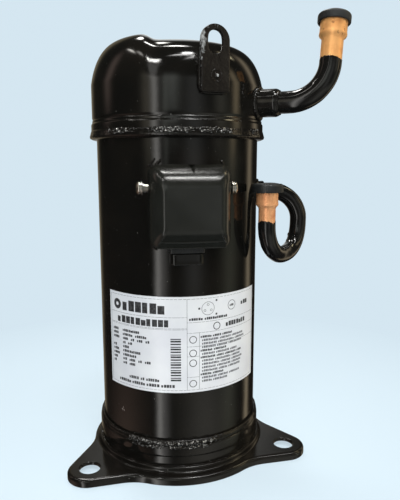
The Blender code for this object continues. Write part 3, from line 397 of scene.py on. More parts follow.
def joined(name, pieces):
    """One object from several that share a material."""
    bm = bmesh.new()
    for piece in pieces:
        bm.from_mesh(piece.data)
    mesh = bpy.data.meshes.new(name)
    bm.to_mesh(mesh)
    bm.free()
    mesh.materials.append(pieces[0].data.materials[0])
    for piece in pieces:
        bpy.data.objects.remove(piece)
    return link(name, mesh)


def store_wear_and_highlight(piece, amount):
    """Store amount(point) on every vertex, for the piece's material to read as wear and painted highlight."""
    layer = piece.data.attributes.new("wear_and_highlight", "FLOAT", "POINT")
    for vertex, item in zip(piece.data.vertices, layer.data):
        item.value = amount(vertex.co)


def put(piece, *replaced, body="housing", slot="black_paint"):
    """Let a finished piece ride on a body, in place of these nodes of the frame."""
    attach(piece, body)
    if replaced:
        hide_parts(*replaced)


def put_weld(piece, *replaced):
    put(piece, *replaced, slot="painted_weld")


# ---- material tools ---------------------------------------------------------------------


def add(tree, kind, inputs=(), output=0, **settings):
    """Add a node, set it up and return an output. Inputs are values or sockets."""
    node = tree.nodes.new("ShaderNode" + kind)
    for name, value in settings.items():
        setattr(node, name, value)
    pairs = inputs.items() if isinstance(inputs, dict) else enumerate(inputs)
    for key, value in pairs:
        if isinstance(value, bpy.types.NodeSocket):
            tree.links.new(value, node.inputs[key])
        else:
            node.inputs[key].default_value = value
    return node.outputs[output]


def calculate(tree, operation, *values):
    return add(tree, "Math", values, operation=operation)


def new_material(name, colour, roughness, metallic=0.0):
    """Material, its tree and shader, and the place that its patterns are laid over."""
    material = bpy.data.materials.new(name)
    material.use_nodes = True
    tree = material.node_tree
    shader = tree.nodes["Principled BSDF"]
    shader.inputs["Base Color"].default_value = (*colour, 1.0)
    shader.inputs["Roughness"].default_value = roughness
    shader.inputs["Metallic"].default_value = metallic
    return material, tree, shader, add(tree, "TexCoord", output="Object")


def lumps(tree, place, pitch, detail=2.0, stretch=None):
    """Noise from 0 to 1, whose lumps are about pitch metres wide."""
    if stretch is not None:
        place = add(tree, "VectorMath", (place, stretch), operation="MULTIPLY")
    return add(tree, "TexNoise", {"Vector": place, "Scale": 0.6 / pitch, "Detail": detail, "Roughness": 0.55})


def ranged(tree, value, low, high, to_low=0.0, to_high=1.0, **settings):
    return add(tree, "MapRange", (value, low, high, to_low, to_high), **settings)


def blend_colour(tree, factor, first, second):
    first, second = (part if isinstance(part, bpy.types.NodeSocket) else (*part, 1.0)
                     for part in (first, second))
    return add(tree, "Mix", {0: factor, 6: first, 7: second}, output=2, data_type="RGBA")


def scaled(colour, factor, lift=0.0):
    return tuple(min(1.0, factor * part + lift) for part in colour)


def relief(tree, shader, *layers):
    """Stack bump layers of (height, depth in metres) and feed them to the shader."""
    below = {}
    for height, depth in layers:
        normal = add(tree, "Bump", {"Strength": 1.0, "Distance": depth, "Height": height, **below})
        below = {"Normal": normal}
    tree.links.new(normal, shader.inputs["Normal"])


def feed(tree, shader, **sockets):
    names = {"colour": "Base Color", "rough": "Roughness", "metal": "Metallic"}
    for key, value in sockets.items():
        tree.links.new(value, shader.inputs[names[key]])


def painted(name, colour, gloss, peel=0.00002, wave=0.0003, dust=0.35, tint=(0.010, 0.008, 0.006)):
    """Black stove paint: orange peel, slow waves, dull patches and a little dust."""
    material, tree, shader, place = new_material(name, colour, gloss)
    patches = lumps(tree, place, 0.035, 3.0)
    speck = ranged(tree, lumps(tree, place, 0.0008, 0.0), 0.865, 0.89, 0.0, dust)
    base = blend_colour(tree, ranged(tree, patches, 0.45, 0.70, 0.0, 0.5), colour, tint)
    dull = ranged(tree, patches, 0.30, 0.75, gloss * 0.75, gloss * 1.5)
    feed(tree, shader, colour=blend_colour(tree, speck, base, (0.22, 0.21, 0.19)),
         rough=calculate(tree, "ADD", dull, speck))
    relief(tree, shader, (lumps(tree, place, 0.022, 1.0), wave), (lumps(tree, place, 0.0022, 1.0), peel))
    return material


def welded(name, colour, gloss, bump=1.0, flecks=0.0):
    """Painted weld: ripples and spatter under the gloss, with bare flecks where rubbed."""
    material, tree, shader, place = new_material(name, colour, gloss)
    coarse = lumps(tree, place, 0.0024, 2.0)
    fine = lumps(tree, place, 0.0009, 1.0)
    base = blend_colour(tree, ranged(tree, coarse, 0.45, 0.80, 0.0, 0.5), colour, (0.014, 0.012, 0.010))
    bare = ranged(tree, lumps(tree, place, 0.0011, 2.0), 0.56, 0.66, 0.0, flecks)
    feed(tree, shader, colour=blend_colour(tree, bare, base, (0.62, 0.61, 0.58)), metal=bare,
         rough=ranged(tree, fine, 0.3, 0.8, gloss * 0.8, gloss * 1.8))
    relief(tree, shader, (coarse, bump * 0.00030), (fine, bump * 0.00015))
    return material


def copper(name, bright, dark, roughness, patchy):
    """Drawn copper: heat patches, dark spots and lengthwise drawing marks."""
    material, tree, shader, place = new_material(name, bright, roughness, 0.55)
    cloud = lumps(tree, place, 0.007, 4.0)
    blot = lumps(tree, place, 0.0028, 3.0)
    lines = lumps(tree, place, 0.0022, 2.0, stretch=(1.0, 1.0, 0.35))
    base = blend_colour(tree, ranged(tree, cloud, 0.46, 0.80, 0.0, patchy), bright, dark)
    spots = ranged(tree, blot, 0.60, 0.68, 0.0, 0.65)
    feed(tree, shader, colour=blend_colour(tree, spots, base, scaled(dark, 0.45)),
         rough=ranged(tree, cloud, 0.3, 0.8, roughness * 0.8, roughness * 1.5))
    relief(tree, shader, (lines, 0.00006), (blot, 0.00008))
    return material


def moulded(name, colour, roughness, grain=0.00005, pitch=0.0007, bloom=0.3):
    """Rubber or plastic with a fine skin and a bloom that dulls it in patches."""
    material, tree, shader, place = new_material(name, colour, roughness)
    patches = lumps(tree, place, 0.012, 3.0)
    dusty = ranged(tree, patches, 0.45, 0.8, 0.0, bloom)
    feed(tree, shader, colour=blend_colour(tree, dusty, colour, scaled(colour, 2.4, 0.01)),
         rough=ranged(tree, patches, 0.3, 0.8, roughness * 0.85, roughness * 1.25))
    relief(tree, shader, (lumps(tree, place, pitch, 2.0), grain))
    return material


def metal(name, colour, roughness, pitch=0.0010, stretch=(1.0, 1.0, 8.0), depth=0.00003, stain=0.25,
          body=0.85):
    """Machined or cast metal with tool marks and light staining."""
    material, tree, shader, place = new_material(name, colour, roughness, body)
    marks = lumps(tree, place, pitch, 2.0, stretch=stretch)
    stained = ranged(tree, lumps(tree, place, 0.015, 3.0), 0.45, 0.8, 0.0, stain)
    feed(tree, shader, colour=blend_colour(tree, stained, colour, scaled(colour, 0.55)),
         rough=ranged(tree, marks, 0.3, 0.8, roughness * 0.7, roughness * 1.4))
    relief(tree, shader, (marks, depth))
    return material


def ridged(name, colour, roughness, metallic, pitch, depth, direction="Z"):
    """Stacked sheets or wound wire: regular lines across one axis, slightly uneven."""
    material, tree, shader, place = new_material(name, colour, roughness, metallic)
    inputs = {"Vector": place, "Scale": 0.49975 / pitch, "Distortion": 1.5, "Detail": 1.0,
              "Detail Scale": 2.0}
    lines = add(tree, "TexWave", inputs, wave_type="BANDS", bands_direction=direction)
    dark = scaled(colour, 0.5)
    base = blend_colour(tree, ranged(tree, lumps(tree, place, 0.010, 3.0), 0.4, 0.8, 0.0, 0.5), colour, dark)
    feed(tree, shader, colour=blend_colour(tree, ranged(tree, lines, 0.0, 0.35, 0.6, 0.0), base, dark),
         rough=ranged(tree, lines, 0.0, 1.0, roughness * 1.3, roughness * 0.8))
    relief(tree, shader, (lines, depth))
    return material


def lug_paint_with_wear_and_highlight():
    """Paint of the lifting lug: rubbed thin along its edge, where the steel shows pale; the same pale paints
    highlights on the lug's lit left and upper edges and a glint on its plug weld.
    """
    material, tree, shader, place = new_material("lug_paint_wear_and_highlight", (0.02, 0.02, 0.02), 0.3)
    scratch = lumps(tree, place, 0.0016, 4.0)
    wear_and_highlight = add(tree, "Attribute", output="Fac", attribute_name="wear_and_highlight")
    # Pale where the stored amount is high: bare steel at worn edges, plus painted highlight and painted
    # glint.
    bare = ranged(tree, calculate(tree, "MULTIPLY", wear_and_highlight, scratch), 0.37, 0.58)
    cloud = lumps(tree, place, 0.010, 3.0)
    base = blend_colour(tree, cloud, (0.0035, 0.0030, 0.0025), (0.013, 0.010, 0.008))
    feed(tree, shader, colour=blend_colour(tree, bare, base, (0.27, 0.275, 0.27)),
         rough=ranged(tree, bare, 0.0, 1.0, 0.17, 0.50))
    relief(tree, shader, (cloud, 0.0007), (scratch, 0.00022))
    return material


def label_film():
    """Silvered film: satin, with faint mottling."""
    material, tree, shader, place = new_material("label_film", (0.70, 0.70, 0.71), 0.36, 0.12)
    mottling = ranged(tree, lumps(tree, place, 0.020, 3.0), 0.35, 0.7)
    fibre = lumps(tree, place, 0.0012, 2.0)
    feed(tree, shader, colour=blend_colour(tree, mottling, (0.74, 0.74, 0.75), (0.66, 0.66, 0.69)),
         rough=ranged(tree, fibre, 0.3, 0.8, 0.30, 0.42))
    relief(tree, shader, (fibre, 0.000012))
    return material


def ink(name, colour):
    """Screen ink with thin spots."""
    material, tree, shader, place = new_material(name, colour, 0.5)
    thin = lumps(tree, place, 0.0012, 2.0)
    worn = ranged(tree, thin, 0.4, 0.8, 0.0, 0.7)
    feed(tree, shader, colour=blend_colour(tree, worn, colour, scaled(colour, 1.0, 0.10)))
    relief(tree, shader, (thin, 0.000005))
    return material


# ---- materials --------------------------------------------------------------------------

PAINT = painted("black_stove_paint", (0.0046, 0.0043, 0.0037), 0.085)
PLATE_PAINT = painted("base_plate_paint", (0.0056, 0.0050, 0.0043), 0.13, peel=0.000008, wave=0.00012,
                      dust=0.5)
PIPE_PAINT = painted("pipe_paint", (0.0050, 0.0050, 0.0048), 0.070, peel=0.00001, wave=0.00012, dust=0.0)
WELD = welded("weld_under_paint", (0.0048, 0.0042, 0.0036), 0.075)
SPATTER = welded("weld_spatter", (0.0048, 0.0042, 0.0036), 0.06, bump=1.8, flecks=0.75)
SUCTION_COPPER = copper("suction_copper", (1.0, 0.50, 0.18), (0.60, 0.20, 0.05), 0.34, 0.8)
DISCHARGE_COPPER = copper("discharge_copper", (0.98, 0.48, 0.22), (0.55, 0.17, 0.07), 0.33, 0.9)
RUBBER = moulded("plug_rubber", (0.011, 0.012, 0.012), 0.42, bloom=0.45)
GASKET = moulded("gasket_rubber", (0.022, 0.022, 0.024), 0.70)
COVER = moulded("cover_satin_black", (0.0100, 0.0103, 0.0086), 0.20, grain=0.000008, pitch=0.0009, bloom=0.12)
BUSH = moulded("bush_plastic", (0.010, 0.010, 0.010), 0.35, grain=0.00002)
ZINC = metal("zinc_plate", (0.74, 0.72, 0.67), 0.16, depth=0.00002, body=1.0)
STEEL = metal("turned_steel", (0.56, 0.57, 0.58), 0.30)
IRON = metal("cast_iron_skin", (0.21, 0.21, 0.22), 0.58, pitch=0.0016, stretch=(1, 1, 1), depth=0.00012,
             stain=0.6)
ALUMINIUM = metal("die_cast_aluminium", (0.74, 0.75, 0.76), 0.40, pitch=0.0014, stretch=(1, 1, 1))
BRONZE = metal("bearing_bronze", (0.58, 0.41, 0.20), 0.34)
BARE_STEEL = metal("bare_steel", (0.55, 0.55, 0.55), 0.35)
LAMINATION = ridged("electrical_sheet", (0.34, 0.35, 0.37), 0.42, 1.0, 0.0010, 0.00010)
WINDING = ridged("enamelled_wire", (0.50, 0.20, 0.07), 0.30, 0.6, 0.0013, 0.00035, "DIAGONAL")
LEADS = ridged("lead_sleeving", (0.60, 0.55, 0.42), 0.55, 0.0, 0.0012, 0.00015, "DIAGONAL")
NYLON = moulded("plug_nylon", (0.62, 0.58, 0.46), 0.48, bloom=0.1)
SEAL_GLASS = moulded("sealing_glass", (0.10, 0.19, 0.17), 0.10, grain=0.000008, bloom=0.4)
LUG_PAINT = lug_paint_with_wear_and_highlight()
LABEL_FILM = label_film()
BLACK_INK = ink("black_ink", (0.012, 0.012, 0.014))
GREY_INK = ink("grey_ink", (0.10, 0.10, 0.11))


# ---- body, dome and bottom --------------------------------------------------------------


def make_shell():
    inner = BODY_RADIUS - BODY_WALL
    low, high = SHELL_LOW.z, SHELL_HIGH.z
    corners = [(inner, low, 0.0006), (BODY_RADIUS, low, 0.0008), (BODY_RADIUS, high, 0.0008),
               (inner, high, 0.0006)]

    def rolled(point):
        """A rolled tube isn't quite round."""
        swell = 1 + 0.00006 * rough(point, 0.045, 4.0) / BODY_RADIUS
        return Vector((point.x * swell, point.y * swell, point.z))

    shell = turned("body_shell_fine", spaced(rounded(corners), 0.006), PAINT, 224, shape=rolled)
    port = station(DISCHARGE_ANGLE, DISCHARGE_HEIGHT) @ ALONG_X
    window = station(TERMINAL_ANGLE, TERMINAL_HEIGHT) @ ALONG_X
    cut(shell, rod("port", 0.0103, 0.06, 0.10, port), rod("window", 0.0245, 0.06, 0.10, window, 96))
    put(shell, "body_shell")


def dome_points(radius, rise, steps):
    """Dome from its shoulder in to the axis."""
    points = []
    for step in range(steps):
        part = math.cos(math.pi / 2 * step / steps) ** 0.62
        points.append(Vector((radius * part, SHOULDER + rise * (1 - part**DOME_FULLNESS) ** DOME_ROUNDING)))
    return points + [Vector((0, SHOULDER + rise))]


def pressed(point):
    """The dome's right side pressed down flat, with a hump left standing."""
    side = 1 / (1 + math.exp(-(point.x - PRESS_EDGE) / PRESS_SOFTNESS))
    drop = PRESS_DEPTH * side * clamp((point.z - SHOULDER + 0.025) / (DOME_TOP - SHOULDER + 0.025))
    dent = 1 + 0.00007 * rough(point, 0.030, 9.0) / CAP_RADIUS
    return Vector((point.x * dent, point.y * dent, point.z - drop))


def make_cap():
    """Dome on a skirt that steps out twice, each step with two slopes."""
    inner = CAP_RADIUS - CAP_WALL
    rise = DOME_TOP - SHOULDER
    radius = SKIRT_RADIUS + 0.0002
    skirt = [(inner, SKIRT_BOTTOM, 0.0005), (radius, SKIRT_BOTTOM, 0.0009)]
    for height, runs in ((SKIRT_STEP - 0.0021, (0.0007, 0.0009)), (SKIRT_STEP + 0.0013, (0.0005, 0.0005))):
        skirt.append((radius, height, 0.0003))
        for run, lean, setback in zip(runs, (29, 37), (0.00005, 0.0003)):
            height += run
            radius -= run * math.tan(math.radians(lean))
            skirt.append((radius, height, setback))
    skirt += [(CAP_RADIUS, SKIRT_STEP + 0.0042, 0.0005), (CAP_RADIUS, SHOULDER, 0.0)]
    outside = spaced(rounded(skirt, 4, closed=False), 0.003, closed=False)[:-1]
    profile = outside + dome_points(CAP_RADIUS, rise, 64) + dome_points(inner, rise - CAP_WALL, 36)[::-1]
    cap = turned("top_cap_fine", profile, PAINT, 256, shape=pressed)
    cut(cap, rod("port", 0.0131, 0.06, 0.10, station(SUCTION_ANGLE, SUCTION_HEIGHT) @ ALONG_X))
    put(cap, "top_cap")


def make_cup():
    wall, corner = 0.0027, 0.014
    centre = (CUP_RADIUS - corner, corner)
    upper = rounded([
        (CUP_RADIUS, corner + 0.001, 0.0), (CUP_RADIUS, CUP_LIP - 0.0006, 0.0008),
        (CAP_RADIUS, CUP_LIP + 0.0006, 0.0010), (CAP_RADIUS, CUP_TOP, 0.0012),
        (BODY_RADIUS + 0.0003, CUP_TOP, 0.0005), (BODY_RADIUS + 0.0003, corner + 0.002, 0.0),
    ], 5, closed=False)
    profile = [(0, 0), (0.02, 0), (0.045, 0), (0.066, 0), *arc(centre, corner, -90, 0, 16),
               *spaced(upper, 0.003, closed=False), *arc(centre, corner - wall, 0, -90, 12),
               (0.066, wall), (0.03, wall), (0, wall)]
    put(turned("bottom_cup_fine", profile, PAINT, 192), "bottom_cup")


def plate_outline():
    """Edge of the base plate: three tapered feet with a round bulge between each pair."""
    edge_distance = FOOT_CIRCLE * math.sin(math.radians(FOOT_TAPER)) + FOOT_TIP
    square_on = 90 - FOOT_TAPER
    run = 0.014
    outline = []
    for index, angle in enumerate(FOOT_ANGLES):
        outline += arc(polar(angle, FOOT_CIRCLE), FOOT_TIP, angle - square_on, angle + square_on, 22)
        radius = BULGES[index]
        meets = square_on - math.degrees(math.acos(edge_distance / radius))
        start = angle % 360 + meets
        end = FOOT_ANGLES[(index + 1) % 3] % 360 - meets
        end += 360 if end < start else 0
        swing = math.degrees(run / radius)
        hollow_in = polar(start, radius) - polar(angle + square_on + 90) * run
        hollow_out = polar(end, radius) + polar(end + start - angle - square_on + 90) * run
        outline += curve(hollow_in, polar(start, radius), polar(start + swing, radius))
        outline += arc((0, 0), radius, start + swing, end - swing, 18)[1:-1]
        outline += curve(polar(end - swing, radius), polar(end, radius), hollow_out)
    return [Vector(point[:2]) for point in outline]


def make_plate():
    outline = spaced(plate_outline(), 0.004)
    hole = CUP_RADIUS + 0.0006
    collar = hole + 0.0030
    under = PLATE_TOP - PLATE_SHEET

    def hoop(radius, height):
        return [Vector((*(point.normalized() * radius), height)) for point in outline]

    def edge(distance, height):
        return [Vector((*point, height)) for point in inset(outline, distance)]

    rings = [hoop(hole, under + 0.0006), hoop(hole, COLLAR_TOP - 0.0006), hoop(hole + 0.0006, COLLAR_TOP)]
    for turn in turns(0, 90, 6):
        rings.append(hoop(collar - 0.0014 * (1 - math.sin(turn)), COLLAR_TOP - 0.0014 * (1 - math.cos(turn))))
    for turn in turns(0, 90, 5):
        rings.append(hoop(collar + 0.0020 * (1 - math.cos(turn)), PLATE_TOP + 0.0020 * (1 - math.sin(turn))))
    last = hoop(collar + 0.0026, PLATE_TOP)
    first = edge(PLATE_EDGE + 0.0004, PLATE_TOP)
    rings.append(last)
    for part in (0.25, 0.5, 0.75):
        middle = [here.lerp(there, part) for here, there in zip(last, first)]
        rings.append([point + UP * 0.00012 * rough(point, 0.03, 2.0) for point in middle])
    rings.append(first)
    for turn in turns(0, 90, 8):
        rings.append(edge(PLATE_EDGE * (1 - math.sin(turn)), PLATE_TOP - PLATE_EDGE * (1 - math.cos(turn))))
    rings += [edge(distance, height) for distance, height in (
        (0.0, 0.0022), (0.0, 0.0006), (0.0006, 0.0), (0.0026, 0.0), (0.0030, 0.0006),
        (PLATE_EDGE, under - 0.0010), (PLATE_EDGE + 0.0008, under))]
    plate = skin("base_plate_fine", rings, PLATE_PAINT)
    flare = [(FOOT_HOLE + 0.0008 * (1 - math.cos(turn)), PLATE_TOP - 0.0012 * (1 - math.sin(turn)))
             for turn in (0, 0.3, 0.6, 0.9, 1.2, 1.5)]
    profile = [(0, -0.01), (FOOT_HOLE, -0.01), *flare, (FOOT_HOLE + 0.0012, PLATE_TOP + 0.004),
               (0, PLATE_TOP + 0.004)]
    cut(plate, *(turned(f"foot_{number}", profile, None, 72, Matrix.Translation(polar(angle, FOOT_CIRCLE)))
                 for number, angle in enumerate(FOOT_ANGLES)))
    put(plate, "base_plate")
    seam = level_ring(hole - 0.0007, COLLAR_TOP - 0.0016)
    put_weld(bead("plate_weld", seam, UP, 0.0024, 0.0018, WELD, 23.0))


def make_seam_welds():
    """Welds of dome and cup: smooth all round, with rough glittering runs at the front."""
    path = level_ring(BODY_RADIUS + 0.0012, CUP_TOP + 0.0016)
    put_weld(bead("bottom_weld_fine", path, UP, 0.0024, 0.0036, WELD, 1.0, coarse=0.22), "bottom_weld")
    patches = []
    for number, (start, stop, rise, wide, tall) in enumerate((
            (-127, -104, 0.0026, 0.0022, 0.0018), (-107, -62, 0.0024, 0.0023, 0.0019),
            (-124, -98, -0.0018, 0.0019, 0.0016), (-100, -66, -0.0014, 0.0020, 0.0017))):
        path = level_run(start, stop, BODY_RADIUS + 0.0033, CUP_TOP + rise, 0.0010, number)
        patches.append(bead(f"patch_{number}", path, UP, wide, tall, SPATTER, 6.0 + number, closed=False,
                            facets=20, coarse=1.7))
    put_weld(joined("bottom_weld_patches", patches))
    section = [(-0.0049, 0.0030, 0), (-0.0008, 0.0054, 0), (0.0003, 0.0051, 0.1), (0.0007, 0.0040, 0.3),
               (0.0010, 0.0028, 0.5), (0.0013, 0.0016, 0.5), (0.0017, 0.0004, 0.4), (0.0019, -0.0006, 0.3),
               (0.0015, -0.0019, 0.1), (-0.0006, -0.0030, 0), (-0.0030, -0.0036, 0), (-0.0049, -0.0038, 0)]
    path = level_ring(SKIRT_RADIUS, SKIRT_BOTTOM)
    put_weld(bead("top_weld_fine", path, UP, 0, 0, WELD, 2.0, coarse=0.35, section=section), "top_weld")
    sparks = []
    for number, (start, stop) in enumerate(((-139, -113), (-108, -78), (-80, -52), (-40, -28))):
        for row, rise in enumerate((0.0040, 0.0018)):
            path = level_run(start + 2 * row, stop - 2 * row, SKIRT_RADIUS + 0.0008 + 0.0004 * row,
                             SKIRT_BOTTOM + rise, 0.0006, number + 5 * row)
            sparks.append(bead(f"spark_{number}_{row}", path, UP, 0.0013, 0.0014, SPATTER,
                               17.0 + number + 3 * row, closed=False, coarse=1.9))
    put_weld(joined("top_weld_spatter", sparks))


# ---- lifting lug ------------------------------------------------------------------------


def make_lug():
    """Plate with a round head and an oval eye, its edges rubbed pale, brighter on the left and top as painted
    highlight.
    """
    place = station(LUG_ANGLE, 0)
    low, top = LUG_LOW.z, LUG_HIGH.z
    corners = [(*point, 0.0) for point in arc((0, top - LUG_HALF), LUG_HALF, 0, 180, 40)]
    corners += [(-LUG_HALF, low, 0.0016), (LUG_HALF, low, 0.0016)]
    outline = spaced(rounded(corners, 4), 0.0022)
    eye_low, eye_top = low + 0.031 + EYE_HALF, top - 0.0045 - EYE_HALF
    centre = Vector((0, (eye_low + eye_top) / 2))
    stretch = (eye_top - eye_low) / 2

    def eye(point, grow):
        """Point of the eye's outline that faces this point of the outer one."""
        toward = (point - centre).normalized()
        angle = math.atan2(toward.y, toward.x)
        x = (EYE_HALF + grow) * math.cos(angle)
        y = (EYE_HALF + grow) * math.sin(angle) + stretch * max(-1.0, min(1.0, 2.2 * math.sin(angle)))
        return centre + Vector((x, y))

    def level(points, depth):
        return [Vector((depth, *point)) for point in points]

    edge = 0.0007
    near, far = LUG_NEAR, LUG_NEAR + LUG_THICKNESS
    across = [(near, 1.0), (near + edge * 0.3, 0.3), (near + edge, 0.0),
              (far - edge, 0.0), (far - edge * 0.3, 0.3), (far, 1.0)]
    rings = [level(inset(outline, edge * reach), depth) for depth, reach in across + [(far, 2.2)]]
    rings += [level([eye(point, edge * grow) for point in outline], depth)
              for depth, grow in [(far, 2.0)] + across[::-1]]
    lug = skin("lifting_lug_fine", rings, LUG_PAINT, place=place)
    back = place.inverted()

    # Pale amount per vertex: wear along the rim, made much stronger on the left and upper part as painted
    # highlight where the light falls.
    def edge_wear_and_highlight(point):
        local = back @ point
        high = clamp((local.z - top + 0.034) / 0.020)
        rim = clamp((abs(local.y) - LUG_HALF + 0.0024 + 0.0030 * high) / 0.0026)
        left = 0.72 + 0.28 * high if local.y < 0 else 0.15
        return max(rim * left, high * 0.62 * (1.0 if local.y < 0.002 else 0.2))

    store_wear_and_highlight(lug, edge_wear_and_highlight)
    put(lug, "lifting_lug")
    out = polar(LUG_ANGLE)
    beads = []
    for number, (side, tall) in enumerate(((-1, 0.030), (1, 0.034))):
        foot = Vector((LUG_NEAR + 0.0005, side * (LUG_HALF + 0.0004), low + 0.001))
        path = [place @ (foot + UP * tall * step / 40) for step in range(41)]
        beads.append(bead(f"lug_weld_{number}", path, out, 0.0013, 0.0017, WELD, 11.0 + number, closed=False))
    path = [place @ Vector((LUG_NEAR + 0.0003, LUG_HALF * (step / 18 - 1), low - 0.0004))
            for step in range(37)]
    beads.append(bead("lug_weld_2", path, out, 0.0012, 0.0015, WELD, 15.0, closed=False))
    put_weld(joined("lug_weld", beads))
    make_plug_weld(place @ Matrix.Translation((far, 0.0006, low + 0.0135)) @ ALONG_X)


def make_plug_weld(spot):
    """Round crater low on the lug, with a crown in its middle that carries a pale dot as a painted glint."""

    def crater(point):
        fade = clamp((math.hypot(point.x, point.y) - 0.0015) / 0.002)
        return point + UP * 0.0008 * rough(point, 0.0026, 5.0) * fade

    profile = [(0, -0.0012), (0.0056, -0.0012), (0.0056, 0.0000), (0.0051, 0.0006), (0.0045, 0.0005),
               (0.0038, -0.0004), (0.0032, -0.0006), (0.0027, 0.0000), (0.0020, 0.0011), (0.0010, 0.0017),
               (0, 0.0018)]
    plug = turned("lug_plug_weld", spaced(vectors(profile), 0.0004), LUG_PAINT, 48, spot, crater, sharp=60)
    glint_spot = spot @ Vector((0, 0.0004, 0.0017))
    # Painted glint: the stored amount makes a pale dot on the crown.
    store_wear_and_highlight(plug, lambda point: 1.5 if (point - glint_spot).length < 0.0013 else 0.0)
    put(plug)


# ---- pipes ------------------------------------------------------------------------------


def socket(distance_left, plain, opened, depth=0.0125, slope=0.0034):
    """Radius near a tube's end, where it swells into a socket behind a soft bead."""
    part = clamp((depth + slope - distance_left) / slope)
    swell = part * part * (3 - 2 * part)
    crest = math.exp(-(((distance_left - depth + 0.0006) / 0.0016) ** 2)) * 0.00035
    return plain + (opened - plain) * swell + crest


def make_tube(name, path, radius, bore, opened, painted_to, material, seed, node):
    """Copper tube with its socket, and the film of black paint that stops short of it."""
    total = length_of(path)
    film_end = total - painted_to

    def swirl(turn, along):
        return along, math.cos(turn) * 0.01, math.sin(turn) * 0.01

    def outer(distance, turn):
        return socket(total - distance, radius, opened) + 0.00005 * rough(swirl(turn, distance), 0.008, seed)

    def inner(distance, turn):
        return socket(total - distance, bore, opened - 0.0012)

    def film_outer(distance, turn):
        at = (math.cos(turn) * 0.01, math.sin(turn) * 0.01, seed * 0.01)
        left = film_end + 0.0022 * rough(at, 0.009, seed) + 0.0009 * rough(at, 0.0025, seed) - distance
        thick = FILM * min(1.0, max(-1.5, left / 0.0006))
        run = 0.00018 * max(0.0, rough(swirl(turn, distance), 0.006, seed + 5)) if left > 0 else 0.0
        return outer(distance, turn) + thick + run

    put(swept(name, path, outer, inner, material, 56), node, slot="copper_tube")
    count = sum(1 for step in range(len(path)) if total * step / (len(path) - 1) <= film_end + 0.006)
    film = swept(f"{name}_paint", path[:count], film_outer, lambda distance, turn: radius - 0.0005,
                 PIPE_PAINT, 56)
    put(film)


def suction_path():
    out = polar(SUCTION_ANGLE)
    level = UP * SUCTION_HEIGHT
    corner = out * 0.147 + level
    rise = (SUCTION_END - SUCTION_HEIGHT) / SUCTION_LEAN.z
    curved = bend(corner, out, SUCTION_LEAN, 0.035)
    return resampled([out * 0.063 + level] + curved + [corner + SUCTION_LEAN * rise], 0.0011)


def discharge_path():
    """Out of the body, down, and back up through a squarish loop."""
    out = polar(DISCHARGE_ANGLE)
    far = out * 0.1235 + UP * DISCHARGE_HEIGHT
    near = Vector((DISCHARGE_NEAR.x, DISCHARGE_NEAR.y, DISCHARGE_HEIGHT))
    first = bend(far, out, -UP, 0.0285)
    reach = (far - near).length / 2
    across = (near - far).normalized()
    loop = []
    for turn in turns(0, 180, 32):
        square = 0.86 if turn < math.pi / 2 else 1.0
        swing = math.copysign(abs(math.cos(turn)) ** square, math.cos(turn))
        point = (far + near) / 2 - across * reach * swing
        loop.append(Vector((point.x, point.y, 0.2065 + reach - reach * math.sin(turn) ** square)))
    return resampled([first[0] - out * 0.023] + first + loop + [DISCHARGE_NEAR.copy()], 0.0011)


def make_plug(name, path, shank, seed, body, node):
    """Rubber plug pressed into a socket: a thick rim with a soft skirt."""
    radius, head = 0.0149, 0.0070
    corners = [
        (0, -0.006, 0), (shank - 0.0004, -0.006, 0.0008), (shank, -0.004, 0.0006), (shank, 0.0003, 0.0003),
        (shank + 0.0022, 0.0003, 0.0004), (radius - 0.0012, -0.0014, 0.0006), (radius, -0.0008, 0.0007),
        (radius, head - 0.0016, 0.0013), (radius - 0.0016, head, 0.0014),
        (radius - 0.005, head - 0.0003, 0.001), (0, head - 0.0004, 0),
    ]
    profile = spaced(rounded(corners, 5, closed=False), 0.002, closed=False)

    def soft(point):
        squeeze = 1 + 0.012 * rough(point, 0.010, seed)
        return Vector((point.x * squeeze, point.y * squeeze, point.z + 0.00012 * rough(point, 0.006, seed)))

    place = standing(path[-1], (path[-1] - path[-4]).normalized())
    put(turned(name, profile, RUBBER, 80, place, soft), node, body=body, slot="black_rubber")


def make_stub(side, angle, height, corners, facets, meeting, weld, shape=None):
    """Steel collar on the body, and the bead where it meets it.

    meeting is the bead's (radius about the pipe, radius of the body, lift), and weld is
    its (width, height, seed).
    """
    axis = station(angle, height) @ ALONG_X
    stub = turned(f"{side}_stub_fine", spaced(rounded(corners), 0.0025), PIPE_PAINT, facets, axis, shape)
    put(stub, f"{side}_stub")
    around, body_radius, lift = meeting
    place = station(angle, height)
    path = []
    for turn in full_turn(round(2 * math.pi * around / 0.0007)):
        across = around * math.cos(turn)
        out = math.sqrt(body_radius**2 - across**2) + lift
        path.append(place @ Vector((out, across, around * math.sin(turn))))
    put_weld(bead(f"{side}_root_weld", path, polar(angle), weld[0], weld[1], WELD, weld[2]))
    return axis


def make_suction_line():
    path = suction_path()
    make_tube("suction_tube", path, 0.0098, 0.0086, 0.0122, 0.0335, SUCTION_COPPER, 21.0, "suction_pipe")
    make_plug("suction_plug_fine", path, 0.0107, 31.0, "suction_cap", "suction_plug")
    corners = [(0.0101, 0.079, 0.0003), (0.0128, 0.079, 0.0004), (0.0128, 0.1008, 0.0010),
               (0.0117, 0.1035, 0.0009), (0.0101, 0.1035, 0.0004)]

    def paint_runs(point):
        if math.hypot(point.x, point.y) <= 0.0115:
            return point
        grow = 1 + 0.016 * max(0.0, rough(point, 0.007, 6.0))
        return Vector((point.x * grow, point.y * grow, point.z))

    axis = make_stub("suction", SUCTION_ANGLE, SUCTION_HEIGHT, corners, 72, (0.0134, CAP_RADIUS, 0.0006),
                     (0.0020, 0.0022, 41.0), paint_runs)
    ring = [axis @ point for point in circle(0.0103, 0.1037, 56)]
    put_weld(bead("suction_braze", ring, polar(SUCTION_ANGLE), 0.0010, 0.0009, WELD, 44.0))


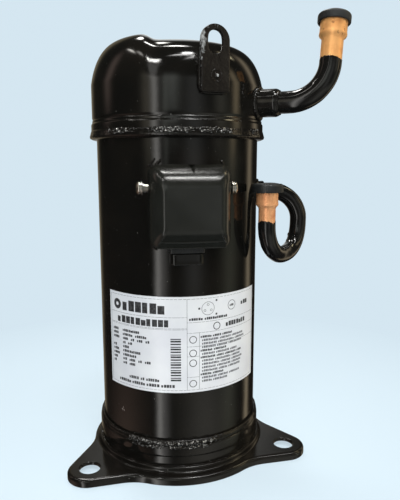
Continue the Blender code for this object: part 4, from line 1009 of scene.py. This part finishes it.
def make_discharge_line():
    path = discharge_path()
    make_tube("discharge_tube", path, 0.0080, 0.0068, 0.0101, 0.0285, DISCHARGE_COPPER, 51.0,
              "discharge_pipe")
    make_plug("discharge_plug_fine", path, 0.0086, 61.0, "discharge_cap", "discharge_plug")
    corners = [(0.0083, 0.075, 0.0003), (0.0100, 0.075, 0.0003), (0.0100, 0.0866, 0.0008),
               (0.0092, 0.0876, 0.0006), (0.0083, 0.0876, 0.0003)]
    make_stub("discharge", DISCHARGE_ANGLE, DISCHARGE_HEIGHT, corners, 64, (0.0106, BODY_RADIUS, 0.0004),
              (0.0014, 0.0016, 71.0))
    drops = []
    for number, (step, turn, size) in enumerate(((78, 3.4, 0.0022), (84, 3.9, 0.0017), (88, 3.1, 0.0012),
                                                 (95, 4.4, 0.0015))):
        ahead = (path[step + 1] - path[step - 1]).normalized()
        side = ahead.cross(Vector((0, 1, 0))).normalized()
        spoke = side * math.cos(turn) + ahead.cross(side) * math.sin(turn)
        profile = [(0, -0.0006), (size, -0.0004), (size * 0.96, 0.0001), (size * 0.7, 0.0006),
                   (size * 0.35, 0.0009), (0, 0.0010)]
        spot = standing(path[step] + spoke * 0.0079, spoke)
        drops.append(turned(f"drop_{number}", profile, PIPE_PAINT, 24, spot))
    put(joined("discharge_paint_runs", drops))


# ---- terminal cover ---------------------------------------------------------------------


def cover_ring(round_at, crisp_at, top_corner, low_corner, corner_steps=8, side_steps=12):
    """Ring of the cover: round_at and crisp_at are (depth, inset) above and below."""
    wide, tall = COVER_HALF
    (depth, round_in), (low_depth, crisp_in) = round_at, crisp_at
    half, top, bottom = wide - round_in, tall - round_in * BEVEL_ABOVE, tall - crisp_in * BEVEL_BELOW
    corners = ((half, top, 1, 1, top_corner), (-half, top, -1, 1, top_corner),
               (-half, -bottom, -1, -1, low_corner), (half, -bottom, 1, -1, low_corner))
    points = []
    for quarter, (x, y, side, level, radius) in enumerate(corners):
        for step, turn in enumerate(turns(90 * quarter, 90 * quarter + 90, corner_steps)):
            part = step / corner_steps
            low = 0.0 if level > 0 else (part if quarter == 2 else 1 - part)
            across, height = math.cos(turn) - side, math.sin(turn) - level
            ahead = depth + (low_depth - depth) * low
            points.append(Vector((ahead, x + radius * across, y + radius * height)))
    ring = []
    for index, here in enumerate(points):
        after = points[(index + 1) % len(points)]
        parts = side_steps if index % (corner_steps + 1) == corner_steps else 1
        ring += [here.lerp(after, step / parts) for step in range(parts)]
    return ring


def make_cover():
    """Moulded cover: a soft bevel above and at the sides, a crisp one below."""
    place = station(TERMINAL_ANGLE, TERMINAL_HEIGHT)
    soft = [Vector((COVER_BACK, 0.0))]
    for turn in turns(0, 90, 40):
        soft.append(Vector((COVER_FACE - BEVEL_DEPTH * (1 - math.sin(turn)),
                            BEVEL_INSET * (1 - math.cos(turn)) ** 0.78)))
    crisp = rounded([(COVER_BACK, 0.0, 0), (0.1005, 0.0004, 0.0010), (0.1046, 0.0010, 0.0010),
                     (0.1084, 0.0048, 0.0012), (0.1138, 0.0098, 0.0026), (COVER_FACE, BEVEL_INSET, 0)], 6,
                    closed=False)
    soft, crisp = (resampled(spaced(line, 0.001, closed=False), BEVEL_PITCH) for line in (soft, crisp))
    inner = ((0.1125, 0.0135, 0.003), (0.1105, 0.0105, 0.004), (0.1020, 0.0050, 0.0055),
             (0.0960, 0.0031, 0.0065), (COVER_BACK, 0.0025, 0.0065))
    rings = [cover_ring((depth, reach), (depth, reach), corner, corner) for depth, reach, corner in inner]
    count = min(len(soft), len(crisp))
    for index in range(count):
        here, there = (line[round(index / (count - 1) * (len(line) - 1))] for line in (soft, crisp))
        shrink = here.y / BEVEL_INSET
        rings.append(cover_ring(here, there, 0.0085 - 0.0050 * shrink, 0.0085 - 0.0073 * shrink))
    cover = skin("terminal_cover_fine", rings, COVER, closed=False, place=place)
    slots = ((0.06, -0.05, SCREW_HEIGHT - 0.0027), (SCREW_RADIAL + 0.0027, 0.05, SCREW_HEIGHT + 0.0027))
    cut(cover, rod("body", 0.0808, 0.20, 0.32, Matrix.Identity(4), 224), slab("slots", *slots, place),
        slab("mouth", (0.06, OUTLET_SHIFT - 0.0161, -0.05), (0.1005, OUTLET_SHIFT + 0.0161, -0.028), place),
        notch(place))
    put(cover, "terminal_cover", body="cover", slot="cover_plastic")
    make_creases(place)


def notch(place):
    """Tool for a narrow vee down the middle of the cover's top bevel, running out at the face."""
    line = ((0.0940, 0.0354, 0.0030), (0.1030, 0.0334, 0.0028), (0.1090, 0.0300, 0.0023),
            (0.1130, 0.0262, 0.0016), (0.1152, 0.0216, 0.0006))
    outward = Vector((0.70, 0, 0.72))
    sections = []
    for depth, height, half in line:
        at = Vector((depth, 0.0010, height))
        rim = at + outward * 0.003
        side = Vector((0, half * 2.2, 0))
        sections.append([at - outward * half * 0.9, rim + side, rim - side])
    return skin("notch", sections, None, closed=False, place=place)


def make_creases(place):
    """Moulded creases at the cover's lower bevel: two level lines and one in each corner."""
    creases = [(0.0011, [(0.1083, -0.0270, -0.0284), (0.1085, 0.0, -0.0287), (0.1083, 0.0270, -0.0284)]),
               (0.0009, [(0.1044, -0.0300, -0.0339), (0.1046, 0.0, -0.0341), (0.1044, 0.0300, -0.0339)])]
    for side in (-1, 1):
        creases.append((0.0011, [(0.1146, 0.0212 * side, -0.0172), (0.1130, 0.0238 * side, -0.0212),
                                 (0.1092, 0.0270 * side, -0.0266), (0.1062, 0.0288 * side, -0.0300)]))
    lines = []
    for number, (radius, points) in enumerate(creases):
        path = resampled([place @ Vector(point) for point in points], 0.0008)
        total = length_of(path)

        def outer(distance, turn):
            """Full in the middle, fading out at both ends."""
            return radius * (0.35 + 0.65 * math.sin(math.pi * clamp(distance / total)) ** 0.5)

        lines.append(swept(f"crease_{number}", path, outer, lambda distance, turn: radius * 0.2, COVER, 16))
    put(joined("cover_creases", lines), body="cover", slot="cover_plastic")


def make_screws():
    """Pan-head screws with a washer face and a cross recess, threaded along the shank."""
    place = station(TERMINAL_ANGLE, TERMINAL_HEIGHT)
    sides = (("left", 1, SCREW_SEATS[0], LEFT_SCREW_FREE), ("right", -1, SCREW_SEATS[1], 0.0))
    for name, side, seat, free in sides:
        thread = [(0.00175 + 0.00018 * math.cos(math.pi * step), 0.0280 + (seat - free - 0.0284) * step / 51)
                  for step in range(52)]
        for step in range(5 if free else 0):
            rise = seat - free + 0.00092 * step
            thread += [(radius, rise + part) for radius, part in (
                (0.0033, 0.0), (0.0041, 0.0002), (0.0041, 0.0005), (0.0033, 0.0007))]
        head = rounded([(radius, seat + rise, setback) for radius, rise, setback in (
            (0.0019, 0.0, 0), (0.0062, 0.0, 0.0003), (0.0062, 0.0011, 0.0004), (0.0048, 0.0014, 0.0002),
            (0.0048, 0.0018, 0.0002), (0.0058, 0.0021, 0.0003), (0.0057, 0.0036, 0.0009),
            (0.0038, 0.0051, 0.0014), (0, 0.0056, 0))], 5, closed=False)
        profile = [(0, 0.0278), (0.0014, 0.0278), *thread, *head]
        spot = Matrix.Translation((SCREW_RADIAL, 0, SCREW_HEIGHT))
        whole = place @ spot @ Matrix.Rotation(math.radians(90 * side), 4, "X")
        screw = turned(f"cover_screw_{name}_fine", profile, ZINC, 48, whole)
        low, high = (-0.0021, -0.00038, seat + 0.0040), (0.0021, 0.00038, seat + 0.0064)
        cut(screw, *(slab(f"wing_{angle}", low, high, whole @ Matrix.Rotation(math.radians(angle), 4, "Z"))
                     for angle in (20, 110)))
        put(screw, f"cover_screw_{name}", slot="zinc_screw")


def rounded_box(name, half_x, half_y, corner, edge, hole, place, material):
    """Finer cable bush or clamp: an upright block with soft edges and a round way through."""
    low, high = (end.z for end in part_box(name))
    outline = spaced(rounded([(half_x, half_y, corner), (-half_x, half_y, corner), (-half_x, -half_y, corner),
                              (half_x, -half_y, corner)], 8), 0.0015)

    def level(distance, height):
        return [Vector((*point, height)) for point in inset(outline, distance)]

    def bore(radius, height):
        return [Vector((*(point.normalized() * radius), height)) for point in outline]

    rings = [level(edge * (1 - math.sin(turn)), low + edge * (1 - math.cos(turn)))
             for turn in turns(0, 90, 5)]
    rings += [level(edge * (1 - math.cos(turn)), high - edge * (1 - math.sin(turn)))
              for turn in turns(0, 90, 5)]
    rings += [bore(hole + 0.0016, high), bore(hole + 0.0006, high), bore(hole, high - 0.0006),
              bore(hole, low + 0.0006), bore(hole + 0.0006, low), bore(hole + 0.0016, low)]
    return skin(f"{name}_fine", rings, material, place=place)


def make_cable_outlet():
    centre = station(TERMINAL_ANGLE, 0) @ Matrix.Translation((0.0920, OUTLET_SHIFT, 0))
    bush = rounded_box("cable_bush", 0.0072, 0.0153, 0.0025, 0.0008, 0.0045, centre, BUSH)
    put(bush, "cable_bush", slot="cover_plastic")
    clamp_block = rounded_box("cable_clamp", 0.0066, 0.0145, 0.0050, 0.0011, 0.0045, centre, PAINT)
    put(clamp_block, "cable_clamp")
    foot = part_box("cable_bush")[0].z + 0.0010
    ribs = []
    for number, side in enumerate((-0.0118, -0.0042, 0.0034, 0.0110)):
        path = [centre @ Vector((0.0072, side, foot + 0.0070 * step / 14)) for step in range(15)]
        ribs.append(swept(f"rib_{number}", path, lambda distance, turn: 0.0005,
                          lambda distance, turn: 0.0001, BUSH, 12))
    put(joined("bush_ribs", ribs), slot="cover_plastic")


def make_fence_welds():
    """Dabs of weld that hold the fence to the shell, seen beside the cover's left corners."""
    place = station(TERMINAL_ANGLE, TERMINAL_HEIGHT)
    dabs = []
    for number, (start, stop, wide) in enumerate((
            ((-0.0350, 0.0280), (-0.0240, 0.0405), 0.0016), ((-0.0362, 0.0325), (-0.0290, 0.0412), 0.0010),
            ((-0.0330, 0.0250), (-0.0325, 0.0372), 0.0012), ((-0.0335, -0.0335), (-0.0225, -0.0385), 0.0014),
            ((-0.0330, -0.0365), (-0.0280, -0.0402), 0.0009), ((0.0330, 0.0330), (0.0290, 0.0392), 0.0011))):
        path = []
        for step in range(22):
            across, level = (low + (high - low) * step / 21 for low, high in zip(start, stop))
            across += 0.0012 * math.sin(2.5 * step / 21)
            path.append(place @ Vector((math.sqrt(BODY_RADIUS**2 - across**2) + 0.0001, across, level)))
        dabs.append(bead(f"fence_dab_{number}", path, polar(TERMINAL_ANGLE), wide, 0.0011, WELD,
                         81.0 + number, closed=False, coarse=1.5))
    put_weld(joined("fence_welds", dabs))


# ---- label ------------------------------------------------------------------------------


class Print:
    """Collects flat marks on the label, placed in metres from its lower left corner."""

    def __init__(self, name, material, lift):
        self.name = name
        self.material = material
        self.radius = LABEL_RADIUS + lift
        self.bm = bmesh.new()

    def at(self, x, y):
        angle = LABEL_ANGLES[0] + math.degrees(x / BODY_RADIUS)
        return self.bm.verts.new(polar(angle, self.radius, LABEL_LOW.z + y))

    def polygon(self, points):
        self.bm.faces.new([self.at(x, y) for x, y in points])

    def bar(self, x, y, width, height=RULE):
        parts = max(1, math.ceil(width / 0.004))
        for step in range(parts):
            left, right = (x + width * (step + offset) / parts for offset in (0, 1))
            self.polygon(((left, y), (right, y), (right, y + height), (left, y + height)))

    def frame(self, x, y, width, height):
        self.bar(x, y, width)
        self.bar(x, y + height - RULE, width)
        self.bar(x, y + RULE, RULE, height - 2 * RULE)
        self.bar(x + width - RULE, y + RULE, RULE, height - 2 * RULE)

    def ring(self, x, y, radius, line, steps=28):
        for step in range(steps):
            first, second = (2 * math.pi * (step + offset) / steps for offset in (0, 1))
            inside = radius - line
            corners = ((radius, first), (radius, second), (inside, second), (inside, first))
            self.polygon([(x + reach * math.cos(turn), y + reach * math.sin(turn))
                          for reach, turn in corners])

    def words(self, x, y, widths, height, block, gap=0.0):
        """Row of word-sized bars, broken into plain blocks; it spells nothing."""
        for width in widths:
            count = max(1, round(width / block))
            for step in range(count):
                fill = 0.86 if step % 3 else 0.70
                tall = height if (step * 7) % 5 else height * 0.80
                self.bar(x + step * width / count, y, fill * width / count, tall)
            x += width + gap

    def done(self):
        put(finish_mesh(self.name, self.bm, self.material, sharp=30), slot="label_film")


def make_label():
    """Silver film with a border, ruled panels and plain bars in place of its text."""
    edge = [(LABEL_RADIUS - 0.0003, LABEL_LOW.z), (LABEL_RADIUS, LABEL_LOW.z), (LABEL_RADIUS, LABEL_HIGH.z),
            (LABEL_RADIUS - 0.0003, LABEL_HIGH.z)]
    start, stop = LABEL_ANGLES
    sections = [[polar(start + (stop - start) * step / 96, *corner) for corner in edge] for step in range(97)]
    film = skin("rating_label_fine", sections, LABEL_FILM, closed=False, sharp=30)
    put(film, "rating_label", slot="label_film")
    width = math.radians(stop - start) * BODY_RADIUS
    height = LABEL_HIGH.z - LABEL_LOW.z
    black = Print("label_black_print", BLACK_INK, 0.00003)
    grey = Print("label_grey_print", GREY_INK, 0.00002)
    margin = 0.0022
    divider = width * 0.50
    grey.frame(margin, margin, width - 2 * margin, height - 2 * margin)
    grey.bar(divider, margin, RULE, height - 2 * margin)
    left_panel(black, grey, margin, divider, height)
    right_panel(black, grey, divider, width - margin, height, margin)
    black.done()
    grey.done()


def left_panel(black, grey, left, right, height):
    """Heading, name, rows of data and a stack of bars; heights count down from the top."""
    for drop, line in ((0.0195, RULE), (0.0300, RULE), (0.0310, RULE * 0.8)):
        grey.bar(left, height - drop, right - left, line)
    black.ring(left + 0.0098, height - 0.0115, 0.0050, 0.0032)
    black.words(left + 0.0170, height - 0.0165, (0.0450,), 0.0100, 0.0075)
    black.words(left + 0.0100, height - 0.0285, (0.0560,), 0.0068, 0.0056)
    rows = (((0.0080,), (0.0200,)), ((0.0080,), (0.0120, 0.0120)),
            ((0.0090,), (0.0070, 0.0040, 0.0060, 0.0040)), ((), (0.0036, 0.0050)), ((0.0046,), (0.0080,)),
            ((0.0080,), (0.0210,)), ((0.0090,), (0.0160,)), ((0.0056,), (0.0050, 0.0070, 0.0040, 0.0060)),
            ((0.0036,), (0.0050, 0.0070)))
    for index, (heading, words) in enumerate(rows):
        y = height - 0.0372 - 0.0040 * index
        black.words(left + 0.0030, y, heading, 0.0025, 0.0020)
        black.words(left + 0.0165, y, words, 0.0025, 0.0020, 0.0030)
    for index in range(17):
        thick = 0.0010 + 0.0007 * (index * 5 % 3) / 2
        black.bar(right - 0.0150, height - 0.0402 - 0.0025 * index, 0.0095, thick)
    black.words(left + 0.0240, 0.0100, (0.0110, 0.0040, 0.0130), 0.0028, 0.0022, 0.0018)
    black.words(left + 0.0110, 0.0050, (0.0150, 0.0140, 0.0130, 0.0130), 0.0029, 0.0024, 0.0014)


def right_panel(black, grey, left, right, height, margin):
    """Round diagram and mark above, then a column of signs beside rows of words."""
    grey.ring(left + 0.0200, height - 0.0120, 0.0064, 0.00045)
    for angle in (90, 210, 330):
        spot = polar(angle, 0.0036)
        grey.ring(left + 0.0200 + spot.x, height - 0.0120 + spot.y, 0.0012, 0.0004, 14)
    for x, y in ((0.0105, -0.0125), (0.0275, -0.0060), (0.0275, -0.0190)):
        black.bar(left + x, height + y, 0.0018, 0.0018)
    grey.ring(left + 0.0460, height - 0.0120, 0.0048, 0.0006)
    for x, drop, widths, tall, block, gap in (
            (0.0435, 0.0132, (0.0050,), 0.0022, 0.0018, 0.0),
            (0.0590, 0.0142, (0.0110,), 0.0040, 0.0034, 0.0),
            (0.0020, 0.0226, (0.0130, 0.0240), 0.0024, 0.0020, 0.0016),
            (0.0390, 0.0318, (0.0270,), 0.0044, 0.0036, 0.0)):
        black.words(left + x, height - drop, widths, tall, block, gap)
    black.ring(left + 0.0290, height - 0.0297, 0.0038, 0.0008, 20)
    cell = left + 0.0115
    for drop in (0.0245, 0.0345):
        grey.bar(left, height - drop, right - left)
    grey.bar(cell, margin, RULE, height - 0.0345 - margin)
    for drop, end in ((0.0345, cell), (0.0475, right), (0.0570, cell), (0.0770, cell)):
        grey.bar(left, height - drop, end - left)
        black.ring(left + 0.0057, height - drop - 0.0062, 0.0036, 0.0007, 20)
    rows = ((0.011, 0.009, 0.012), (0.017, 0.013, 0.016), (0.015, 0.019, 0.014), (0.014, 0.012, 0.018),
            (0.012, 0.014), (0.013, 0.015, 0.009), (0.015, 0.008, 0.014, 0.007), (0.012, 0.018, 0.012),
            (0.018, 0.012, 0.015), (0.014, 0.016, 0.013), (0.016, 0.010, 0.016), (0.011, 0.012),
            (0.015, 0.012, 0.014), (0.010, 0.016))
    for index, widths in enumerate(rows):
        printer, shift = (black, 0.0012) if index in (0, 4, 6, 11) else (grey, 0.0026)
        printer.words(cell + shift, height - 0.0395 - 0.0033 * index, widths, 0.0021, 0.0017, 0.0012)


def make_chips():
    """Three small chips in the shell's paint, low on its left."""
    bm = bmesh.new()
    for angle, height, size in ((-133.6, 0.0590, 0.0013), (-132.8, 0.0612, 0.0010), (-132.0, 0.0586, 0.0011)):
        spot = station(angle, height)
        corners = ((0.9, -0.8), (0.2, 1.1), (-0.9, 0.1))
        bm.faces.new([bm.verts.new(spot @ Vector((BODY_RADIUS + 0.00012, size * y, size * z)))
                      for y, z in corners])
    put(finish_mesh("paint_chips", bm, BARE_STEEL))


# ---- nodes of the frame that stay ---------------------------------------------------------

KEPT = {
    GASKET: ("cover_gasket", "suction_seal"),
    PAINT: ("terminal_fence",),
    STEEL: ("terminal_header", "terminal_pin_1", "terminal_pin_2", "terminal_pin_3", "valve_reed",
            "valve_stop", "muffler_cover", "crankshaft", "oil_tube", "thrust_plate"),
    SEAL_GLASS: ("terminal_glass_1", "terminal_glass_2", "terminal_glass_3"),
    IRON: ("fixed_scroll", "main_frame", "lower_bracket"),
    ALUMINIUM: ("orbiting_scroll", "oldham_ring", "rotor_ring_upper", "rotor_ring_lower"),
    ZINC: ("scroll_bolt_1", "scroll_bolt_2", "scroll_bolt_3", "scroll_bolt_4", "valve_screw"),
    LAMINATION: ("rotor_core", "stator_core"),
    WINDING: ("stator_winding",),
    LEADS: ("motor_leads",),
    NYLON: ("terminal_plug",),
    BRONZE: ("orbiting_bearing", "main_bearing", "lower_bearing", "crank_bush", "counterweight_upper",
             "counterweight_lower"),
}


def dress_kept_nodes():
    for material, names in KEPT.items():
        for name in names:
            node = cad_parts[name]
            node.data.materials.clear()
            node.data.materials.append(material)


# ---- camera, light and floor ----------------------------------------------------------------


def make_lights():
    """Large soft lamps for the matt surfaces; the gloss mirrors the room instead."""
    for name, azimuth, distance, height, size, power, colour in (
            ("front_fill", -100, 1.2, 0.75, (1.2, 1.0), 11.0, (1.0, 1.0, 1.0)),
            ("right_fill", -20, 1.3, 0.60, (0.9, 0.9), 6.0, (1.0, 0.93, 0.82)),
            ("back_fill", 110, 1.4, 0.8, (1.2, 1.0), 9.0, (1.0, 0.95, 0.88)),
            ("overhead_fill", -80, 0.4, 1.7, (1.3, 1.3), 10.0, (1.0, 1.0, 1.0))):
        light = bpy.data.lights.new(name, "AREA")
        light.shape = "RECTANGLE"
        light.size, light.size_y = size
        light.energy = power
        light.color = colour
        holder = link(name, light)
        holder.location = polar(azimuth, distance, height)
        holder.rotation_euler = (UP * 0.2 - holder.location).to_track_quat("-Z", "Y").to_euler()
        holder.visible_camera = False
        holder.visible_glossy = False


# Upright bands in the room: azimuth, half width in degrees, lowest and highest elevation,
# strength and colour.
BANDS = (
    (-119, 3.8, -60, 24, 2.5, (1.00, 0.98, 0.94)),
    (-112, 6.0, -60, -4, 0.9, (1.00, 0.98, 0.95)),
    (-129, 6.0, 0, 26, 0.55, (1.00, 0.92, 0.72)),
    (-97, 8.0, 5, 30, 0.95, (0.94, 1.00, 0.93)),
    (-106, 3.0, 0, 30, 0.50, (0.94, 1.00, 0.90)),
    (-68, 11, -16, 26, 0.34, (0.98, 1.00, 0.98)),
    (-52, 26, -60, -20, 0.46, (1.00, 0.99, 0.90)),
    (-32, 8.0, 3, 30, 0.45, (1.00, 0.98, 0.80)),
    (-8, 5.0, 2, 34, 1.50, (1.00, 0.80, 0.50)),
    (-12, 12, -30, 2, 0.34, (0.96, 1.00, 0.76)),
    (32, 6.0, -60, 42, 0.95, (1.00, 0.82, 0.56)),
    (90, 7.0, -40, 45, 1.10, (0.98, 1.00, 0.98)),
    (113, 9.0, -40, 40, 0.26, (1.00, 0.84, 0.56)),
    (168, 6.0, 6, 40, 0.55, (1.00, 0.74, 0.64)),
    (-172, 24, -60, -22, 0.38, (1.00, 0.66, 0.52)),
)

# Lamps in the room: azimuth, elevation, half width and half height in degrees, strength
# and colour.
LAMPS = (
    (-120, 51, 0.9, 3.2, 60.0, (1.0, 0.98, 0.95)),
    (-119, 36, 2.4, 15.0, 1.3, (1.0, 0.98, 0.95)),
    (-61, 70, 5.0, 2.0, 60.0, (1.0, 0.99, 0.97)),
    (-76, 66, 12.0, 1.6, 16.0, (1.0, 0.99, 0.97)),
    (-38, 62, 16.0, 2.0, 14.0, (1.0, 0.99, 0.97)),
    (-178, 49, 8.0, 1.0, 14.0, (1.0, 0.96, 0.90)),
    (-150, 52, 9.0, 2.0, 6.0, (1.0, 0.96, 0.90)),
    (114, 60, 6.5, 6.0, 34.0, (1.0, 0.98, 0.93)),
    (92, 83, 7.5, 2.0, 42.0, (1.0, 0.98, 0.95)),
    (18, 50, 3.0, 7.0, 8.0, (1.0, 0.88, 0.56)),
)


def facing(tree, toward, direction):
    """How far a direction in the room lies along this one, from -1 to 1."""
    return add(tree, "VectorMath", (toward, tuple(direction)), output="Value", operation="DOT_PRODUCT")


def glowing(tree, glow, strength, colour):
    return add(tree, "VectorMath", {0: tuple(strength * part for part in colour), 3: glow}, operation="SCALE")


def room_band(tree, flat, rise, azimuth, width, low, high, strength, colour):
    """One upright band, soft all round."""
    sharpness = 0.69 / (1 - math.cos(math.radians(width)))
    spread = calculate(tree, "MULTIPLY_ADD", facing(tree, flat, polar(azimuth)), sharpness, -sharpness)
    glow = calculate(tree, "EXPONENT", spread)
    bottom, top = math.sin(math.radians(low)), math.sin(math.radians(high))
    for start, end in ((bottom - 0.09, bottom + 0.09), (top + 0.12, top - 0.12)):
        fade = ranged(tree, rise, start, end, interpolation_type="SMOOTHSTEP")
        glow = calculate(tree, "MULTIPLY", glow, fade)
    return glowing(tree, glow, strength, colour)


def room_lamp(tree, toward, azimuth, elevation, width, height, strength, colour):
    """One lamp, bright inside and soft at its rim."""
    lift = math.radians(elevation)
    axis = polar(azimuth, math.cos(lift), math.sin(lift))
    side = polar(azimuth + 90)
    parts = []
    for across, size in ((side, width), (axis.cross(side), height)):
        reach = calculate(tree, "DIVIDE", facing(tree, toward, across), math.sin(math.radians(size)))
        parts.append(calculate(tree, "MULTIPLY", reach, reach))
    spread = calculate(tree, "ADD", *parts)
    fall = calculate(tree, "MULTIPLY", calculate(tree, "MULTIPLY", spread, spread), -1.0)
    ahead = calculate(tree, "GREATER_THAN", facing(tree, toward, axis), 0.0)
    glow = calculate(tree, "MULTIPLY", calculate(tree, "EXPONENT", fall), ahead)
    return glowing(tree, glow, strength, colour)


def room_light(tree):
    """Colour of the room for each direction: dim walls, soft bands and a few lamps."""
    place = add(tree, "TexCoord", output="Generated")
    toward = add(tree, "VectorMath", (place,), operation="NORMALIZE")
    level = add(tree, "VectorMath", (toward, (1.0, 1.0, 0.0)), operation="MULTIPLY")
    flat = add(tree, "VectorMath", (level,), operation="NORMALIZE")
    rise = add(tree, "SeparateXYZ", (toward,), output="Z")
    walls = ranged(tree, rise, -0.5, 0.5, interpolation_type="SMOOTHSTEP")
    total = blend_colour(tree, walls, (0.020, 0.015, 0.012), (0.016, 0.017, 0.015))
    glows = [room_band(tree, flat, rise, *band) for band in BANDS]
    glows += [room_lamp(tree, toward, *item) for item in LAMPS]
    for glow in glows:
        total = add(tree, "VectorMath", (total, glow), operation="ADD")
    return total


def finish_tree(tree, kind, mixed):
    tree.links.new(mixed, tree.nodes.new(f"ShaderNodeOutput{kind}").inputs["Surface"])


def make_world():
    """Pale backdrop for the eye; the room for what the gloss mirrors."""
    world = bpy.data.worlds.new("studio")
    world.use_nodes = True
    tree = world.node_tree
    tree.nodes.clear()
    backdrop = add(tree, "Background", {"Color": (*BACKDROP, 1.0), "Strength": 1.0})
    room = add(tree, "Background", {"Color": room_light(tree), "Strength": 1.0})
    seen = add(tree, "LightPath", output="Is Camera Ray")
    finish_tree(tree, "World", add(tree, "MixShader", (seen, room, backdrop)))
    bpy.context.scene.world = world


def make_floor():
    """Plain pale floor that runs out into the backdrop."""
    material = bpy.data.materials.new("pale_floor")
    material.use_nodes = True
    tree = material.node_tree
    tree.nodes.clear()
    place = add(tree, "TexCoord", output="Object")
    reach = add(tree, "VectorMath", (place,), output="Value", operation="LENGTH")
    away = ranged(tree, reach, 0.10, 0.50, 0.72, 1.0)
    near = add(tree, "BsdfDiffuse", {"Color": (*BACKDROP, 1.0)})
    far = add(tree, "Emission", {"Color": (*BACKDROP, 1.0), "Strength": 1.0})
    finish_tree(tree, "Material", add(tree, "MixShader", (away, near, far)))
    rings = [[Vector((0, 0, 0))]] + [circle(radius, 0.0, 64) for radius in (0.02, 0.3, 1.0, 3.0, 9.0)]
    floor = skin("floor", rings, material, closed=False, capped=False)
    floor.location.z = -0.0002
    floor.visible_glossy = False


def make_camera():
    data = bpy.data.cameras.new("camera")
    data.sensor_width = 36.0
    data.lens = LENS
    camera = link("camera", data)
    camera.location = CAMERA_PLACE
    camera.rotation_euler = CAMERA_TURN
    bpy.context.scene.camera = camera


# ---- build ----------------------------------------------------------------------------------

make_camera()
make_shell()
make_cap()
make_cup()
make_plate()
make_seam_welds()
make_lug()
make_suction_line()
make_discharge_line()
make_cover()
make_screws()
make_cable_outlet()
make_fence_welds()
make_label()
make_chips()
dress_kept_nodes()
make_world()
make_floor()
make_lights()
bpy.context.scene.view_settings.view_transform = "Standard"

bpy.context.view_layer.update()
